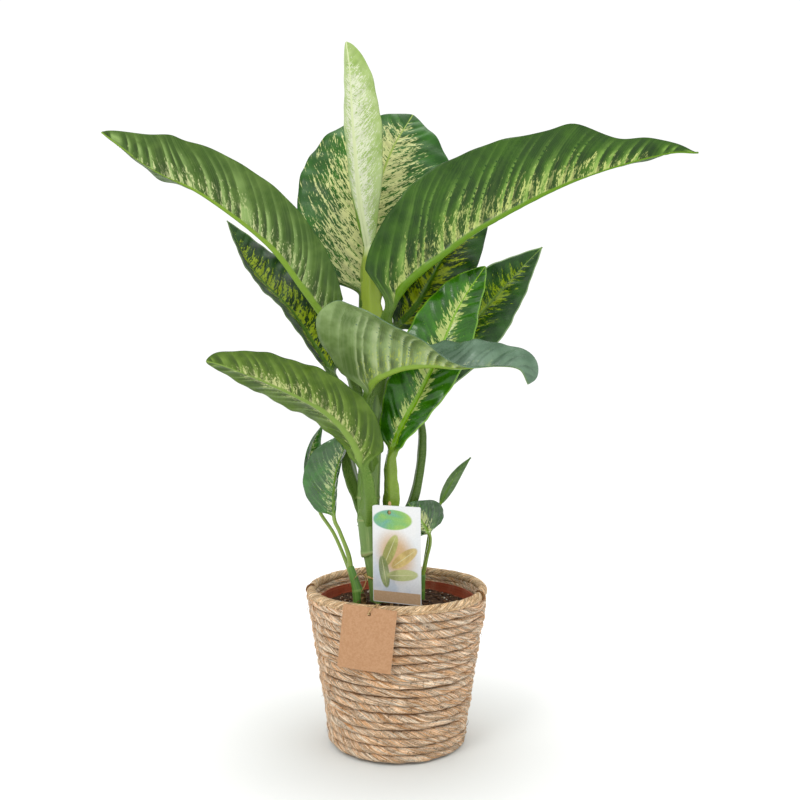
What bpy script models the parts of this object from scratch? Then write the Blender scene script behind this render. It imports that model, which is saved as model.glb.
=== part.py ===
"""A potted dieffenbachia: cane, leaves, soil and nursery pot in a coiled grass basket, with its card and tag.

Metres, +Z up. The origin is the middle of the basket's underside; the plant faces -Y.
"""

import math

import bmesh
import bpy
import numpy as np
from mathutils import Matrix, Vector

# ---- driving dimensions -------------------------------------------------------------------------
OBJECT_NAME = "potted_dieffenbachia"
GAP = 0.0003                      # clearance between touching solids

RIM_RADIUS = 0.0905               # centre circle of the basket's rolled rim
RIM_ROLL = 0.0045                 # radius of the roll itself
RIM_Z = 0.159                     # height of the roll's centre
WALL_THICKNESS = 0.0078           # one coil of grass rope
WALL_TOP = RIM_Z - RIM_ROLL - GAP
BASKET_FLOOR = 0.008
BASKET_PROFILE = [(0.0945, WALL_TOP), (0.0919, 0.136), (0.0830, 0.085), (0.0757, 0.035),
                  (0.0728, 0.010), (0.0705, 0.002), (0.0680, 0.0)]

POT_RIM_RADIUS = 0.0822
POT_RIM_Z = 0.150
POT_RIM_DEPTH = 0.012
POT_TOP_RADIUS = 0.0785
POT_FOOT_RADIUS = 0.0590
POT_WALL = 0.0014
POT_BASE_Z = BASKET_FLOOR + GAP
DRAIN_HOLES = 6
DRAIN_RADIUS = 0.005
DRAIN_CIRCLE = 0.040

SOIL_EDGE_Z = 0.142
SOIL_MOUND_Z = 0.1465

TURN_STEPS = 40                   # facets round the turned pieces

# main cane: centre line and radius, from inside the soil to where the newest leaf grows on
CANE = [(-0.0165, 0.000, 0.115, 0.0104), (-0.0180, 0.000, 0.150, 0.0106), (-0.0205, 0.000, 0.170, 0.0104),
        (-0.0245, 0.000, 0.194, 0.0108), (-0.0262, 0.000, 0.199, 0.0124), (-0.0272, 0.000, 0.204, 0.0114),
        (-0.0300, 0.000, 0.240, 0.0120), (-0.0290, 0.000, 0.285, 0.0118), (-0.0262, 0.000, 0.330, 0.0105),
        (-0.0245, 0.001, 0.370, 0.0085), (-0.0235, 0.001, 0.405, 0.0065)]
SHOOT_LEFT = [(-0.0400, -0.003, 0.116, 0.0062), (-0.0405, -0.003, 0.150, 0.0062),
              (-0.0440, -0.002, 0.166, 0.0048), (-0.0490, 0.000, 0.182, 0.0034)]
SHOOT_RIGHT = [(0.0250, 0.008, 0.116, 0.0046), (0.0250, 0.008, 0.150, 0.0046),
               (0.0270, 0.008, 0.172, 0.0034)]

BLADE_EDGE = 0.0006               # blade thickness at its margin
ACROSS = (-1.0, -0.66, -0.33, 0.0, 0.33, 0.66, 1.0)
STALK_RINGS = 6
BLADE_STEPS = (0.0, 0.03, 0.08, 0.16, 0.26, 0.38, 0.5, 0.62, 0.74, 0.85, 0.94, 1.0)

# Each leaf: the stalk's centre line, the midrib on to the tip, the directions in which the left and
# the right half spread (at the base, in the middle, at the tip), their half widths, the curl of each
# half towards the underside, the outline (roundness of the base, where it is widest, fullness of the
# tip) and the stalk's radius.
LEAVES = {
    "leaf_upper_left": dict(
        stalk=[(-0.026, 0.000, 0.318), (-0.036, -0.006, 0.350), (-0.050, -0.010, 0.390)],
        rib=[(-0.066, -0.012, 0.431), (-0.094, -0.022, 0.470), (-0.130, -0.036, 0.516),
             (-0.189, -0.055, 0.560), (-0.239, -0.066, 0.585), (-0.284, -0.072, 0.618)],
        left=[(0.95, -0.10, 0.18), (0.55, -0.10, 0.80), (0.10, -0.10, 0.95)],
        right=[(0.20, 0.95, 0.10), (0.10, 0.95, 0.25), (-0.10, 0.90, 0.10)],
        width=(0.0485, 0.056), curl=(0.3, 0.3), outline=(0.33, 0.50, 0.72), stem=0.0045),
    "leaf_left_back": dict(
        stalk=[(-0.029, 0.002, 0.230), (-0.045, 0.012, 0.266), (-0.0535, 0.018, 0.294), (-0.060, 0.025, 0.345)],
        rib=[(-0.068, 0.030, 0.381), (-0.096, 0.045, 0.424), (-0.119, 0.058, 0.457),
             (-0.155, 0.075, 0.493), (-0.179, 0.088, 0.529), (-0.197, 0.100, 0.563)],
        left=[(-0.30, -0.85, 0.05), (-0.20, -0.90, 0.00), (-0.20, -0.90, 0.00)],
        right=[(0.70, 0.45, 0.25), (0.75, 0.40, 0.40), (0.70, 0.40, 0.40)],
        width=(0.0215, 0.052), curl=(0.2, 0.2), outline=(0.60, 0.40, 0.90), stem=0.0042),
    "leaf_back": dict(
        stalk=[(-0.024, 0.001, 0.345), (-0.031, 0.014, 0.385), (-0.036, 0.022, 0.430)],
        rib=[(-0.037, 0.025, 0.468), (-0.034, 0.036, 0.518), (-0.023, 0.052, 0.583),
             (-0.006, 0.076, 0.638), (0.018, 0.105, 0.686)],
        left=[(-0.95, -0.20, 0.10), (-0.98, -0.15, 0.05), (-0.90, -0.10, 0.15)],
        right=[(0.95, -0.20, -0.10), (0.98, -0.15, -0.10), (0.95, -0.15, -0.15)],
        width=(0.087, 0.090), curl=(0.3, 0.3), outline=(0.36, 0.55, 0.72), stem=0.0042),
    "leaf_newest": dict(
        stalk=[(-0.0235, 0.001, 0.4064), (-0.0250, 0.000, 0.425), (-0.0270, 0.000, 0.465)],
        rib=[(-0.029, 0.000, 0.503), (-0.039, -0.001, 0.562), (-0.044, -0.003, 0.618),
             (-0.047, -0.004, 0.659), (-0.049, -0.003, 0.699), (-0.053, 0.000, 0.731)],
        left=[(-0.70, 0.65, 0.10), (-0.70, 0.65, 0.05), (-0.60, 0.70, 0.10)],
        right=[(0.95, -0.10, 0.10), (0.98, 0.05, 0.08), (0.95, 0.25, 0.10)],
        width=(0.018, 0.032), curl=(0.5, 0.5), outline=(0.80, 0.62, 0.45), stem=0.0046),
    "leaf_upper_right": dict(
        stalk=[(-0.024, 0.000, 0.338), (-0.016, 0.000, 0.375), (-0.0105, -0.004, 0.412)],
        rib=[(-0.010, -0.012, 0.448), (0.009, -0.018, 0.477), (0.049, -0.030, 0.508),
             (0.091, -0.042, 0.535), (0.174, -0.060, 0.574), (0.256, -0.070, 0.597), (0.291, -0.070, 0.599)],
        left=[(0.10, 0.93, 0.30), (0.12, 0.90, 0.42), (0.15, 0.90, 0.15)],
        right=[(-0.52, -0.10, 0.83), (-0.38, -0.10, 0.91), (-0.10, -0.15, 0.95)],
        width=(0.060, 0.0755), curl=(0.2, 0.4), outline=(0.52, 0.32, 1.12), stem=0.0050),
    "leaf_right_back": dict(
        stalk=[(-0.024, 0.000, 0.318), (-0.014, 0.016, 0.352), (-0.009, 0.025, 0.395)],
        rib=[(-0.004, 0.030, 0.433), (0.022, 0.042, 0.462), (0.048, 0.060, 0.510),
             (0.077, 0.080, 0.555), (0.107, 0.100, 0.598)],
        left=[(-0.75, 0.05, 0.55), (-0.75, 0.00, 0.60), (-0.70, 0.10, 0.50)],
        right=[(0.75, -0.25, -0.30), (0.75, -0.25, -0.35), (0.70, -0.20, -0.40)],
        width=(0.046, 0.040), curl=(0.3, 0.3), outline=(0.60, 0.42, 0.90), stem=0.0040),
    "leaf_right": dict(
        stalk=[(-0.0225, 0.004, 0.188), (-0.003, 0.012, 0.214), (0.0164, 0.013, 0.249),
               (0.0245, 0.014, 0.284), (0.0272, 0.015, 0.318)],
        rib=[(0.026, 0.016, 0.345), (0.042, 0.026, 0.385), (0.071, 0.040, 0.425),
             (0.109, 0.056, 0.471), (0.140, 0.070, 0.505), (0.165, 0.082, 0.530)],
        left=[(-0.80, 0.15, 0.45), (-0.75, 0.10, 0.60), (-0.75, 0.10, 0.55)],
        right=[(0.60, -0.60, -0.10), (0.70, -0.50, -0.30), (0.70, -0.40, -0.30)],
        width=(0.044, 0.036), curl=(0.2, 0.9), outline=(0.75, 0.45, 0.95), stem=0.0036),
    "leaf_young": dict(
        stalk=[(-0.0225, -0.003, 0.178), (-0.0110, -0.008, 0.206), (-0.0060, -0.007, 0.252)],
        rib=[(-0.006, -0.008, 0.299), (0.005, -0.014, 0.330), (0.028, -0.020, 0.374),
             (0.047, -0.018, 0.416), (0.065, -0.008, 0.457), (0.093, 0.006, 0.499)],
        left=[(-0.90, 0.00, 0.35), (-0.85, 0.00, 0.50), (-0.75, 0.00, 0.60)],
        right=[(0.25, -0.95, 0.00), (0.60, -0.50, -0.40), (0.85, -0.10, -0.45)],
        width=(0.040, 0.030), curl=(0.3, 0.5), outline=(0.55, 0.50, 0.70), stem=0.0044),
    "leaf_front": dict(
        stalk=[(-0.0270, -0.002, 0.276), (-0.0300, -0.020, 0.312), (-0.0315, -0.028, 0.340)],
        rib=[(-0.031, -0.032, 0.363), (-0.021, -0.040, 0.379), (0.005, -0.055, 0.390),
             (0.035, -0.072, 0.393), (0.060, -0.086, 0.391), (0.094, -0.100, 0.393),
             (0.114, -0.107, 0.390), (0.122, -0.111, 0.376)],
        left=[(-0.10, 0.90, 0.20), (0.10, 0.70, 0.60), (0.00, 0.40, 0.90), (0.40, 0.35, 0.85)],
        right=[(-0.40, 0.10, 0.75), (0.41, -0.80, 1.20), (-0.05, -0.90, 0.20), (0.00, -0.95, 0.00)],
        width=(0.036, 0.087), curl=(0.3, 0.4), outline=((0.50, 0.30, 0.36), (1.0, 0.295, 4.75)),
        lobe=0.556, stem=0.0042),
    "leaf_lower_left": dict(
        stalk=[(-0.0300, -0.002, 0.222), (-0.0290, -0.018, 0.248), (-0.0300, -0.025, 0.268)],
        rib=[(-0.033, -0.026, 0.287), (-0.048, -0.034, 0.321), (-0.076, -0.046, 0.350),
             (-0.125, -0.066, 0.376), (-0.165, -0.080, 0.393), (-0.182, -0.085, 0.398)],
        left=[(0.80, -0.25, 0.50), (0.55, -0.30, 0.75), (0.20, -0.30, 0.90)],
        right=[(-0.40, 0.85, -0.20), (-0.25, 0.85, -0.35), (-0.15, 0.80, -0.40)],
        width=(0.042, 0.030), curl=(0.35, 0.2), outline=(0.35, 0.38, 0.55), stem=0.0045),
    "leaf_shoot_left": dict(
        stalk=[(-0.0490, 0.000, 0.181), (-0.0520, 0.003, 0.196), (-0.0610, 0.007, 0.218)],
        rib=[(-0.067, 0.007, 0.233), (-0.067, 0.004, 0.262), (-0.063, 0.001, 0.288),
             (-0.055, -0.003, 0.308), (-0.047, -0.005, 0.322)],
        left=[(-0.95, -0.20, 0.10), (-0.92, -0.30, 0.25), (-0.80, -0.30, 0.50)],
        right=[(0.40, 0.85, 0.00), (0.35, 0.90, 0.00), (0.40, 0.80, -0.20)],
        width=(0.034, 0.010), curl=(0.5, 0.2), outline=(0.50, 0.45, 0.80), stem=0.0022),
    "leaf_shoot_behind": dict(
        stalk=[(-0.0440, 0.000, 0.158), (-0.0530, 0.014, 0.180), (-0.0680, 0.024, 0.212)],
        rib=[(-0.083, 0.028, 0.234), (-0.092, 0.030, 0.255), (-0.096, 0.032, 0.281),
             (-0.093, 0.036, 0.308), (-0.082, 0.040, 0.330)],
        left=[(-0.60, -0.75, -0.10), (-0.50, -0.80, 0.10), (-0.40, -0.80, 0.20)],
        right=[(0.80, 0.50, 0.10), (0.85, 0.45, 0.10), (0.80, 0.45, 0.00)],
        width=(0.008, 0.018), curl=(0.2, 0.2), outline=(0.60, 0.45, 0.90), stem=0.0020),
    "leaf_shoot_right": dict(
        stalk=[(0.0268, 0.008, 0.170), (0.0315, 0.008, 0.190), (0.0350, 0.007, 0.205)],
        rib=[(0.034, 0.005, 0.216), (0.026, 0.001, 0.230), (0.018, -0.002, 0.241), (0.012, -0.003, 0.250)],
        left=[(-0.70, 0.00, -0.70), (-0.70, 0.00, -0.70), (-0.70, 0.00, -0.70)],
        right=[(0.85, 0.10, 0.45), (0.75, 0.05, 0.65), (0.50, 0.05, 0.80)],
        width=(0.018, 0.027), curl=(0.3, 0.3), outline=(0.35, 0.40, 0.70), stem=0.0020),
    "leaf_shoot_tip": dict(
        stalk=[(0.0252, 0.009, 0.156), (0.0300, 0.021, 0.182), (0.0370, 0.026, 0.222)],
        rib=[(0.046, 0.028, 0.243), (0.056, 0.030, 0.262), (0.067, 0.033, 0.279), (0.0805, 0.036, 0.2945)],
        left=[(-0.60, 0.50, 0.50), (-0.60, 0.50, 0.50), (-0.60, 0.50, 0.50)],
        right=[(0.70, -0.20, -0.40), (0.70, -0.20, -0.40), (0.70, -0.20, -0.40)],
        width=(0.007, 0.006), curl=(0.2, 0.2), outline=(0.70, 0.40, 0.90), stem=0.0018),
}

BUD = [(-0.0345, -0.0130, 0.1340), (-0.0350, -0.0140, 0.1520), (-0.0335, -0.0145, 0.1580)]
BUD_RADIUS = 0.0026

CARD_SIZE = (0.054, 0.0995)
CARD_THICKNESS = 0.0006
CARD_CENTRE = (-0.0003, -0.0355, 0.2020)
CARD_TURN = math.radians(-25.0)    # its right side comes forward
CARD_ROLL = math.radians(-0.6)
CARD_HOLE = (-0.0080, 0.0427)     # in the card's own plane, from its centre
CARD_HOLE_RADIUS = 0.0022
STICK = [(-0.0050, -0.0275, 0.116), (-0.0075, -0.0295, 0.2560)]
STICK_RADIUS = 0.0016
TIE_Z = 0.1720
TIE_RADIUS = 0.0007
TAG_SIZE = (0.0522, 0.0625)
TAG_THICKNESS = 0.0007
TAG_RADIUS = 0.0969               # how far out the tag's middle hangs
TAG_TURN = math.radians(-17.0)    # where round the basket, from the front
TAG_FACING = math.radians(-8.0)
TAG_Z = 0.1328
TAG_LEAN = math.radians(3.5)
TAG_ROLL = math.radians(6.5)
TAG_HOLE = (-0.0004, 0.0245)
TAG_HOLE_RADIUS = 0.0018
STRING_RADIUS = 0.0006
STRING_SPREAD = 0.0009            # each strand lies this far to its side of the loop
STRING_SLANT = 0.0055             # the loop crosses the rim this far to the right of the hole
STRING_TUCK = 0.007


# ---- scene and materials ------------------------------------------------------------------------
def clear_scene():
    for thing in list(bpy.data.objects):
        bpy.data.objects.remove(thing, do_unlink=True)


def new_collection(name):
    group = bpy.data.collections.new(name)
    bpy.context.scene.collection.children.link(group)
    return group


def finish_of(name, colour, roughness, metallic=0.0):
    material = bpy.data.materials.new(name)
    material.use_nodes = True
    shader = material.node_tree.nodes["Principled BSDF"]
    shader.inputs["Base Color"].default_value = (*colour, 1.0)
    shader.inputs["Roughness"].default_value = roughness
    shader.inputs["Metallic"].default_value = metallic
    return material


clear_scene()
PARTS = new_collection(OBJECT_NAME)
CUTTERS = new_collection("cutters")
FINISHES = {
    "grass_rope": finish_of("grass_rope", (0.50, 0.34, 0.19), 0.80),
    "grass_wrap": finish_of("grass_wrap", (0.46, 0.31, 0.17), 0.75),
    "pot_plastic": finish_of("pot_plastic", (0.42, 0.12, 0.05), 0.45),
    "soil": finish_of("soil", (0.05, 0.03, 0.02), 0.95),
    "stem": finish_of("stem", (0.16, 0.32, 0.07), 0.40),
    "leaf_mature": finish_of("leaf_mature", (0.04, 0.14, 0.03), 0.35),
    "leaf_pale": finish_of("leaf_pale", (0.45, 0.60, 0.28), 0.40),
    "leaf_fresh": finish_of("leaf_fresh", (0.07, 0.28, 0.03), 0.25),
    "bud": finish_of("bud", (0.10, 0.07, 0.03), 0.60),
    "card": finish_of("card", (0.80, 0.82, 0.78), 0.30),
    "bamboo": finish_of("bamboo", (0.55, 0.38, 0.20), 0.60),
    "raffia": finish_of("raffia", (0.60, 0.47, 0.26), 0.70),
    "kraft": finish_of("kraft", (0.55, 0.35, 0.20), 0.85),
    "twine": finish_of("twine", (0.55, 0.42, 0.25), 0.80),
}


def place(name, mesh, finish, collection=None):
    """A mesh as a named object in its collection, with its own material."""
    thing = bpy.data.objects.new(name, mesh)
    (collection or PARTS).objects.link(thing)
    if finish:
        mesh.materials.append(FINISHES[finish])
        mesh.shade_smooth()
        mesh.set_sharp_from_angle(angle=math.radians(40))
    return thing


def as_cutter(thing):
    thing.hide_render = True
    thing.display_type = "WIRE"
    return thing


def cut_by(thing, cutter):
    step = thing.modifiers.new("cut_" + cutter.name, "BOOLEAN")
    step.operation = "DIFFERENCE"
    step.object = cutter
    step.solver = "EXACT"


def mesh_from(name, bm):
    bmesh.ops.recalc_face_normals(bm, faces=bm.faces)
    mesh = bpy.data.meshes.new(name)
    bm.to_mesh(mesh)
    bm.free()
    return mesh


# ---- turned pieces ------------------------------------------------------------------------------
def turned(name, profile, finish, closed=False):
    """A profile of (radius, height) points turned about +Z, listed from the top down the outer side."""
    bm = bmesh.new()
    points = [bm.verts.new((radius, 0.0, height)) for radius, height in profile]
    ends = zip(points, points[1:] + points[:1]) if closed else zip(points, points[1:])
    for first, second in ends:
        bm.edges.new((first, second))
    mesh = bpy.data.meshes.new(name)
    bm.to_mesh(mesh)
    bm.free()
    thing = place(name, mesh, finish)
    screw = thing.modifiers.new("turn", "SCREW")
    screw.steps = TURN_STEPS
    screw.render_steps = TURN_STEPS
    screw.use_merge_vertices = True
    screw.merge_threshold = 0.00005
    screw.use_smooth_shade = True
    return thing


def basket_wall():
    outer = BASKET_PROFILE
    inner = [(radius - WALL_THICKNESS, height) for radius, height in reversed(outer[:5])]
    inner[0] = (POT_FOOT_RADIUS + 0.0045, BASKET_FLOOR)
    return turned("basket_body", outer + [(0.0, 0.0), (0.0, BASKET_FLOOR)] + inner, "grass_rope", closed=True)


def basket_rim():
    ring = [(RIM_RADIUS + RIM_ROLL * math.sin(turn), RIM_Z + RIM_ROLL * math.cos(turn))
            for turn in (math.tau * step / 10 for step in range(10))]
    return turned("basket_rim", ring, "grass_wrap", closed=True)


def nursery_pot():
    lip = POT_RIM_Z - POT_RIM_DEPTH
    foot = POT_FOOT_RADIUS
    outer = [(POT_RIM_RADIUS, POT_RIM_Z), (POT_RIM_RADIUS, lip), (POT_TOP_RADIUS, lip - 0.001),
             (foot, POT_BASE_Z)]
    step_in = POT_TOP_RADIUS - POT_WALL
    inner = [(foot - POT_WALL, POT_BASE_Z + 0.002), (step_in, lip + 0.0004),
             (POT_RIM_RADIUS - POT_WALL, lip + 0.0015), (POT_RIM_RADIUS - POT_WALL, POT_RIM_Z)]
    pot = turned("nursery_pot", outer + [(0.0, POT_BASE_Z), (0.0, POT_BASE_Z + 0.002)] + inner,
                 "pot_plastic", closed=True)
    bm = bmesh.new()
    for step in range(DRAIN_HOLES):
        turn = math.tau * step / DRAIN_HOLES
        spot = Matrix.Translation((DRAIN_CIRCLE * math.cos(turn), DRAIN_CIRCLE * math.sin(turn), POT_BASE_Z))
        bmesh.ops.create_cone(bm, cap_ends=True, segments=10, radius1=DRAIN_RADIUS, radius2=DRAIN_RADIUS,
                              depth=0.01, matrix=spot)
    cut_by(pot, as_cutter(place("drain_cutter", mesh_from("drain_cutter", bm), None, CUTTERS)))
    return pot


def soil(rooted):
    """The root ball, as wide as the pot's inside, with a socket for everything that stands in it."""
    base = POT_BASE_Z + 0.002 + GAP
    slope = (POT_TOP_RADIUS - POT_FOOT_RADIUS) / (POT_RIM_Z - POT_RIM_DEPTH - POT_BASE_Z)
    foot = POT_FOOT_RADIUS - POT_WALL - 2 * GAP
    ledge = POT_RIM_Z - POT_RIM_DEPTH - 0.002
    wide = foot + slope * (ledge - base)
    profile = [(0.0, SOIL_MOUND_Z), (0.035, SOIL_MOUND_Z - 0.0008), (0.062, SOIL_MOUND_Z - 0.003),
               (wide - 0.002, SOIL_EDGE_Z), (wide, SOIL_EDGE_Z - 0.003), (wide, ledge),
               (foot, base), (0.0, base)]
    ball = turned("soil", profile, "soil")
    for cutter in rooted:
        cut_by(ball, cutter)
    return ball


# ---- tubes --------------------------------------------------------------------------------------
def tube_mesh(name, points, radii, resolution=2, closed=False):
    """A round tube along straight runs between points, as a closed mesh."""
    curve = bpy.data.curves.new(name, "CURVE")
    curve.dimensions = "3D"
    curve.bevel_depth = 1.0
    curve.bevel_resolution = resolution
    curve.use_fill_caps = not closed
    spline = curve.splines.new("POLY")
    spline.points.add(len(points) - 1)
    spline.use_cyclic_u = closed
    for knot, point, radius in zip(spline.points, points, radii):
        knot.co = (*point, 1.0)
        knot.radius = radius
    guide = bpy.data.objects.new(name + "_guide", curve)
    CUTTERS.objects.link(guide)
    evaluated = guide.evaluated_get(bpy.context.evaluated_depsgraph_get())
    mesh = bpy.data.meshes.new_from_object(evaluated)
    bpy.data.objects.remove(guide, do_unlink=True)
    bpy.data.curves.remove(curve)
    bm = bmesh.new()
    bm.from_mesh(mesh)
    bpy.data.meshes.remove(mesh)
    bmesh.ops.remove_doubles(bm, verts=bm.verts, dist=0.000005)
    return mesh_from(name, bm)


def stem(name, line, finish="stem"):
    points = [knot[:3] for knot in line]
    radii = [knot[3] for knot in line]
    return place(name, tube_mesh(name, points, radii, 3), finish)


def clearance(name, line, extra=GAP):
    """The same stem a little fatter, to cut a socket for it."""
    points = [knot[:3] for knot in line]
    points[0] = (points[0][0], points[0][1], points[0][2] - extra)
    points[-1] = tuple(Vector(points[-1]) + (Vector(points[-1]) - Vector(points[-2])).normalized() * extra)
    radii = [knot[3] + extra for knot in line]
    return as_cutter(place(name, tube_mesh(name, points, radii, 3), None, CUTTERS))


# ---- leaves -------------------------------------------------------------------------------------
def smooth_line(points, per_span=16):
    """A Catmull-Rom curve through the points."""
    knots = np.array(points, float)
    knots = np.vstack([2 * knots[0] - knots[1], knots, 2 * knots[-1] - knots[-2]])
    line = []
    for before, start, end, after in zip(knots, knots[1:], knots[2:], knots[3:]):
        for step in range(per_span):
            t = step / per_span
            line.append(0.5 * (2 * start + (end - before) * t + (2 * before - 5 * start + 4 * end - after) * t**2
                               + (3 * start - before - 3 * end + after) * t**3))
    return np.array(line + [knots[-2]])


def along(line, shares):
    """Points at these shares of the line's length."""
    steps = np.linalg.norm(np.diff(line, axis=0), axis=1)
    reach = np.concatenate([[0.0], np.cumsum(steps)]) / steps.sum()
    return np.stack([np.interp(shares, reach, line[:, axis]) for axis in range(3)], axis=1)


def unit(vector):
    return vector / np.linalg.norm(vector)


def across_direction(keys, share, forward):
    """The direction in which one half of the blade spreads at this share of the midrib."""
    keys = np.array(keys, float)
    spots = np.linspace(0.0, 1.0, len(keys))
    wanted = np.array([np.interp(share, spots, keys[:, axis]) for axis in range(3)])
    return unit(wanted - forward * wanted.dot(forward))


def blade_outline(share, base_power, widest, tip_power):
    """Half width, as a share of the widest: round at the base, drawn out to a point at the tip."""
    if share < widest:
        return math.sin(0.5 * math.pi * share / widest) ** base_power
    return math.cos(0.5 * math.pi * (share - widest) / (1.0 - widest)) ** tip_power


def smooth_step(value):
    value = min(1.0, max(0.0, value))
    return value * value * (3 - 2 * value)


def swept_back(spec, wide, share):
    """How far the right half's round lobe at the base sweeps back towards the stalk, as a share of its width."""
    return spec.get("lobe", 0.0) * wide * smooth_step(share / 0.15) * (1 - smooth_step((share - 0.35) / 0.3))


def leaf_rings(spec):
    """Closed rings from the foot of the stalk to the tip: the stalk's round section opens into the blade."""
    stalk_line = smooth_line(spec["stalk"] + spec["rib"][:2])
    cut = 16 * len(spec["stalk"])
    stalk = along(stalk_line[: cut + 1], np.linspace(0.0, 1.0, STALK_RINGS + 1)[:-1])
    blade = along(smooth_line(spec["rib"]), BLADE_STEPS)
    centres = np.vstack([stalk, blade])
    shares = [0.0] * STALK_RINGS + list(BLADE_STEPS)
    forwards = [unit(forward) for forward in np.gradient(centres, axis=0)]
    lefts = [across_direction(spec["left"], share, forward) for share, forward in zip(shares, forwards)]
    rights = [across_direction(spec["right"], share, forward) for share, forward in zip(shares, forwards)]
    sheet = []
    for centre, forward, left, right, share in zip(centres, forwards, lefts, rights, shares):
        row = []
        for side in ACROSS:
            half, wide = (left, 0) if side < 0 else (right, 1)
            down = np.cross(half, forward) if side < 0 else np.cross(forward, half)
            outline = spec["outline"] if len(spec["outline"]) == 3 else spec["outline"][wide]
            width = max(spec["width"][wide] * blade_outline(share, *outline), 0.0012)
            bend = spec["curl"][wide]
            turned_by = bend * abs(side)
            back = swept_back(spec, wide, share) * width * abs(side) ** 1.5
            row.append(centre - back * forward
                       + width / bend * (math.sin(turned_by) * half + (1 - math.cos(turned_by)) * down))
        sheet.append(row)
    sheet = np.array(sheet)
    normals = np.cross(np.gradient(sheet, axis=1), np.gradient(sheet, axis=0))
    normals = normals / np.linalg.norm(normals, axis=2, keepdims=True)
    rings = []
    for index, (centre, forward, share) in enumerate(zip(centres, forwards, shares)):
        sideways = unit(rights[index] - lefts[index])
        up = np.cross(sideways, forward)
        opened = min(1.0, share / 0.07) ** 2
        foot = 1.0 + 0.35 * max(0.0, 1.0 - index / 3.0)
        round_radius = spec["stem"] * foot * max(0.12, (1.0 - share) ** 1.3)
        upper, lower = [], []
        for column, side in enumerate(ACROSS):
            turn = side * math.radians(80)
            rib = round_radius * 0.9 * max(0.0, 1.0 - abs(side) * 3.2)
            tube_up = centre + round_radius * (math.sin(turn) * sideways + math.cos(turn) * up)
            tube_down = centre + round_radius * (math.sin(turn) * sideways - math.cos(turn) * up)
            flat, normal = sheet[index, column], normals[index, column]
            upper.append(tube_up * (1 - opened) + opened * (flat + normal * BLADE_EDGE * 0.5))
            lower.append(tube_down * (1 - opened) + opened * (flat - normal * (BLADE_EDGE * 0.5 + rib)))
        rings.append(upper + lower[::-1])
    return rings


def leaf(name, spec, finish, cutter):
    bm = bmesh.new()
    loops = [[bm.verts.new(point) for point in ring] for ring in leaf_rings(spec)]
    for ring, following in zip(loops, loops[1:]):
        for index in range(len(ring)):
            after = (index + 1) % len(ring)
            if index < len(ACROSS):
                bm.faces.new((ring[index], ring[after], following[after]))
                bm.faces.new((ring[index], following[after], following[index]))
            else:
                bm.faces.new((ring[index], ring[after], following[index]))
                bm.faces.new((ring[after], following[after], following[index]))
    bm.faces.new(loops[0])
    bm.faces.new(loops[-1][::-1])
    grown = place(name, mesh_from(name, bm), finish)
    if cutter:
        cut_by(grown, cutter)
    return grown


# ---- card, tag and ties -------------------------------------------------------------------------
def flat_board(name, size, thickness, hole, hole_radius, finish, placing):
    """A thin upright board in its own X-Z plane with one punched hole."""
    bm = bmesh.new()
    shape = Matrix.Diagonal((size[0], thickness, size[1], 1.0))
    bmesh.ops.create_cube(bm, size=1.0, matrix=shape)
    board = place(name, mesh_from(name, bm), finish)
    board.matrix_world = placing
    bm = bmesh.new()
    spot = Matrix.Translation((hole[0], 0.0, hole[1])) @ Matrix.Rotation(math.pi / 2, 4, "X")
    bmesh.ops.create_cone(bm, cap_ends=True, segments=12, radius1=hole_radius, radius2=hole_radius,
                          depth=0.01, matrix=spot)
    punch = as_cutter(place(name + "_punch", mesh_from(name + "_punch", bm), None, CUTTERS))
    punch.matrix_world = placing
    cut_by(board, punch)
    return board


def tag_placing():
    """The tag hangs against the rim and leans in a little towards the wall below it."""
    spot = Matrix.Rotation(TAG_TURN, 4, "Z") @ Vector((0.0, -TAG_RADIUS, TAG_Z))
    turned_to = Matrix.Rotation(TAG_FACING, 4, "Z") @ Matrix.Rotation(TAG_LEAN, 4, "X")
    return Matrix.Translation(spot) @ turned_to @ Matrix.Rotation(TAG_ROLL, 4, "Y")


def string_line():
    """A twine loop: through the tag's hole, up its face, over the rim, and back down behind the tag."""
    hole = tag_placing() @ Vector((TAG_HOLE[0], 0.0, TAG_HOLE[1]))
    away = Vector((hole.x, hole.y, 0.0)).normalized()
    right = Vector((-away.y, away.x, 0.0))
    side = right * STRING_SPREAD
    slant = right * STRING_SLANT
    rise = Vector((0.0, 0.0, 1.0))
    face = away * (TAG_THICKNESS / 2 + STRING_RADIUS + 2 * GAP)
    over = RIM_ROLL + STRING_RADIUS + 2 * GAP
    centre = away * RIM_RADIUS + rise * RIM_Z + slant
    tucked = centre - away * over - rise * STRING_TUCK

    def round_rim(degrees):
        turn = math.radians(degrees)
        return centre + over * (away * math.cos(turn) + rise * math.sin(turn))

    front = [hole + face, hole + face + rise * 0.0042 + slant * 0.45, hole + face + rise * 0.0085 + slant * 0.85]
    up = front + [round_rim(angle) for angle in (60, 80, 105, 130, 155, 180)] + [tucked]
    back = [round_rim(angle) for angle in (180, 155, 130, 105, 80, 55, 30)]
    back += [round_rim(0) - slant * 0.4, hole - face]
    return [point - side for point in up] + [point + side for point in [tucked] + back]


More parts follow.
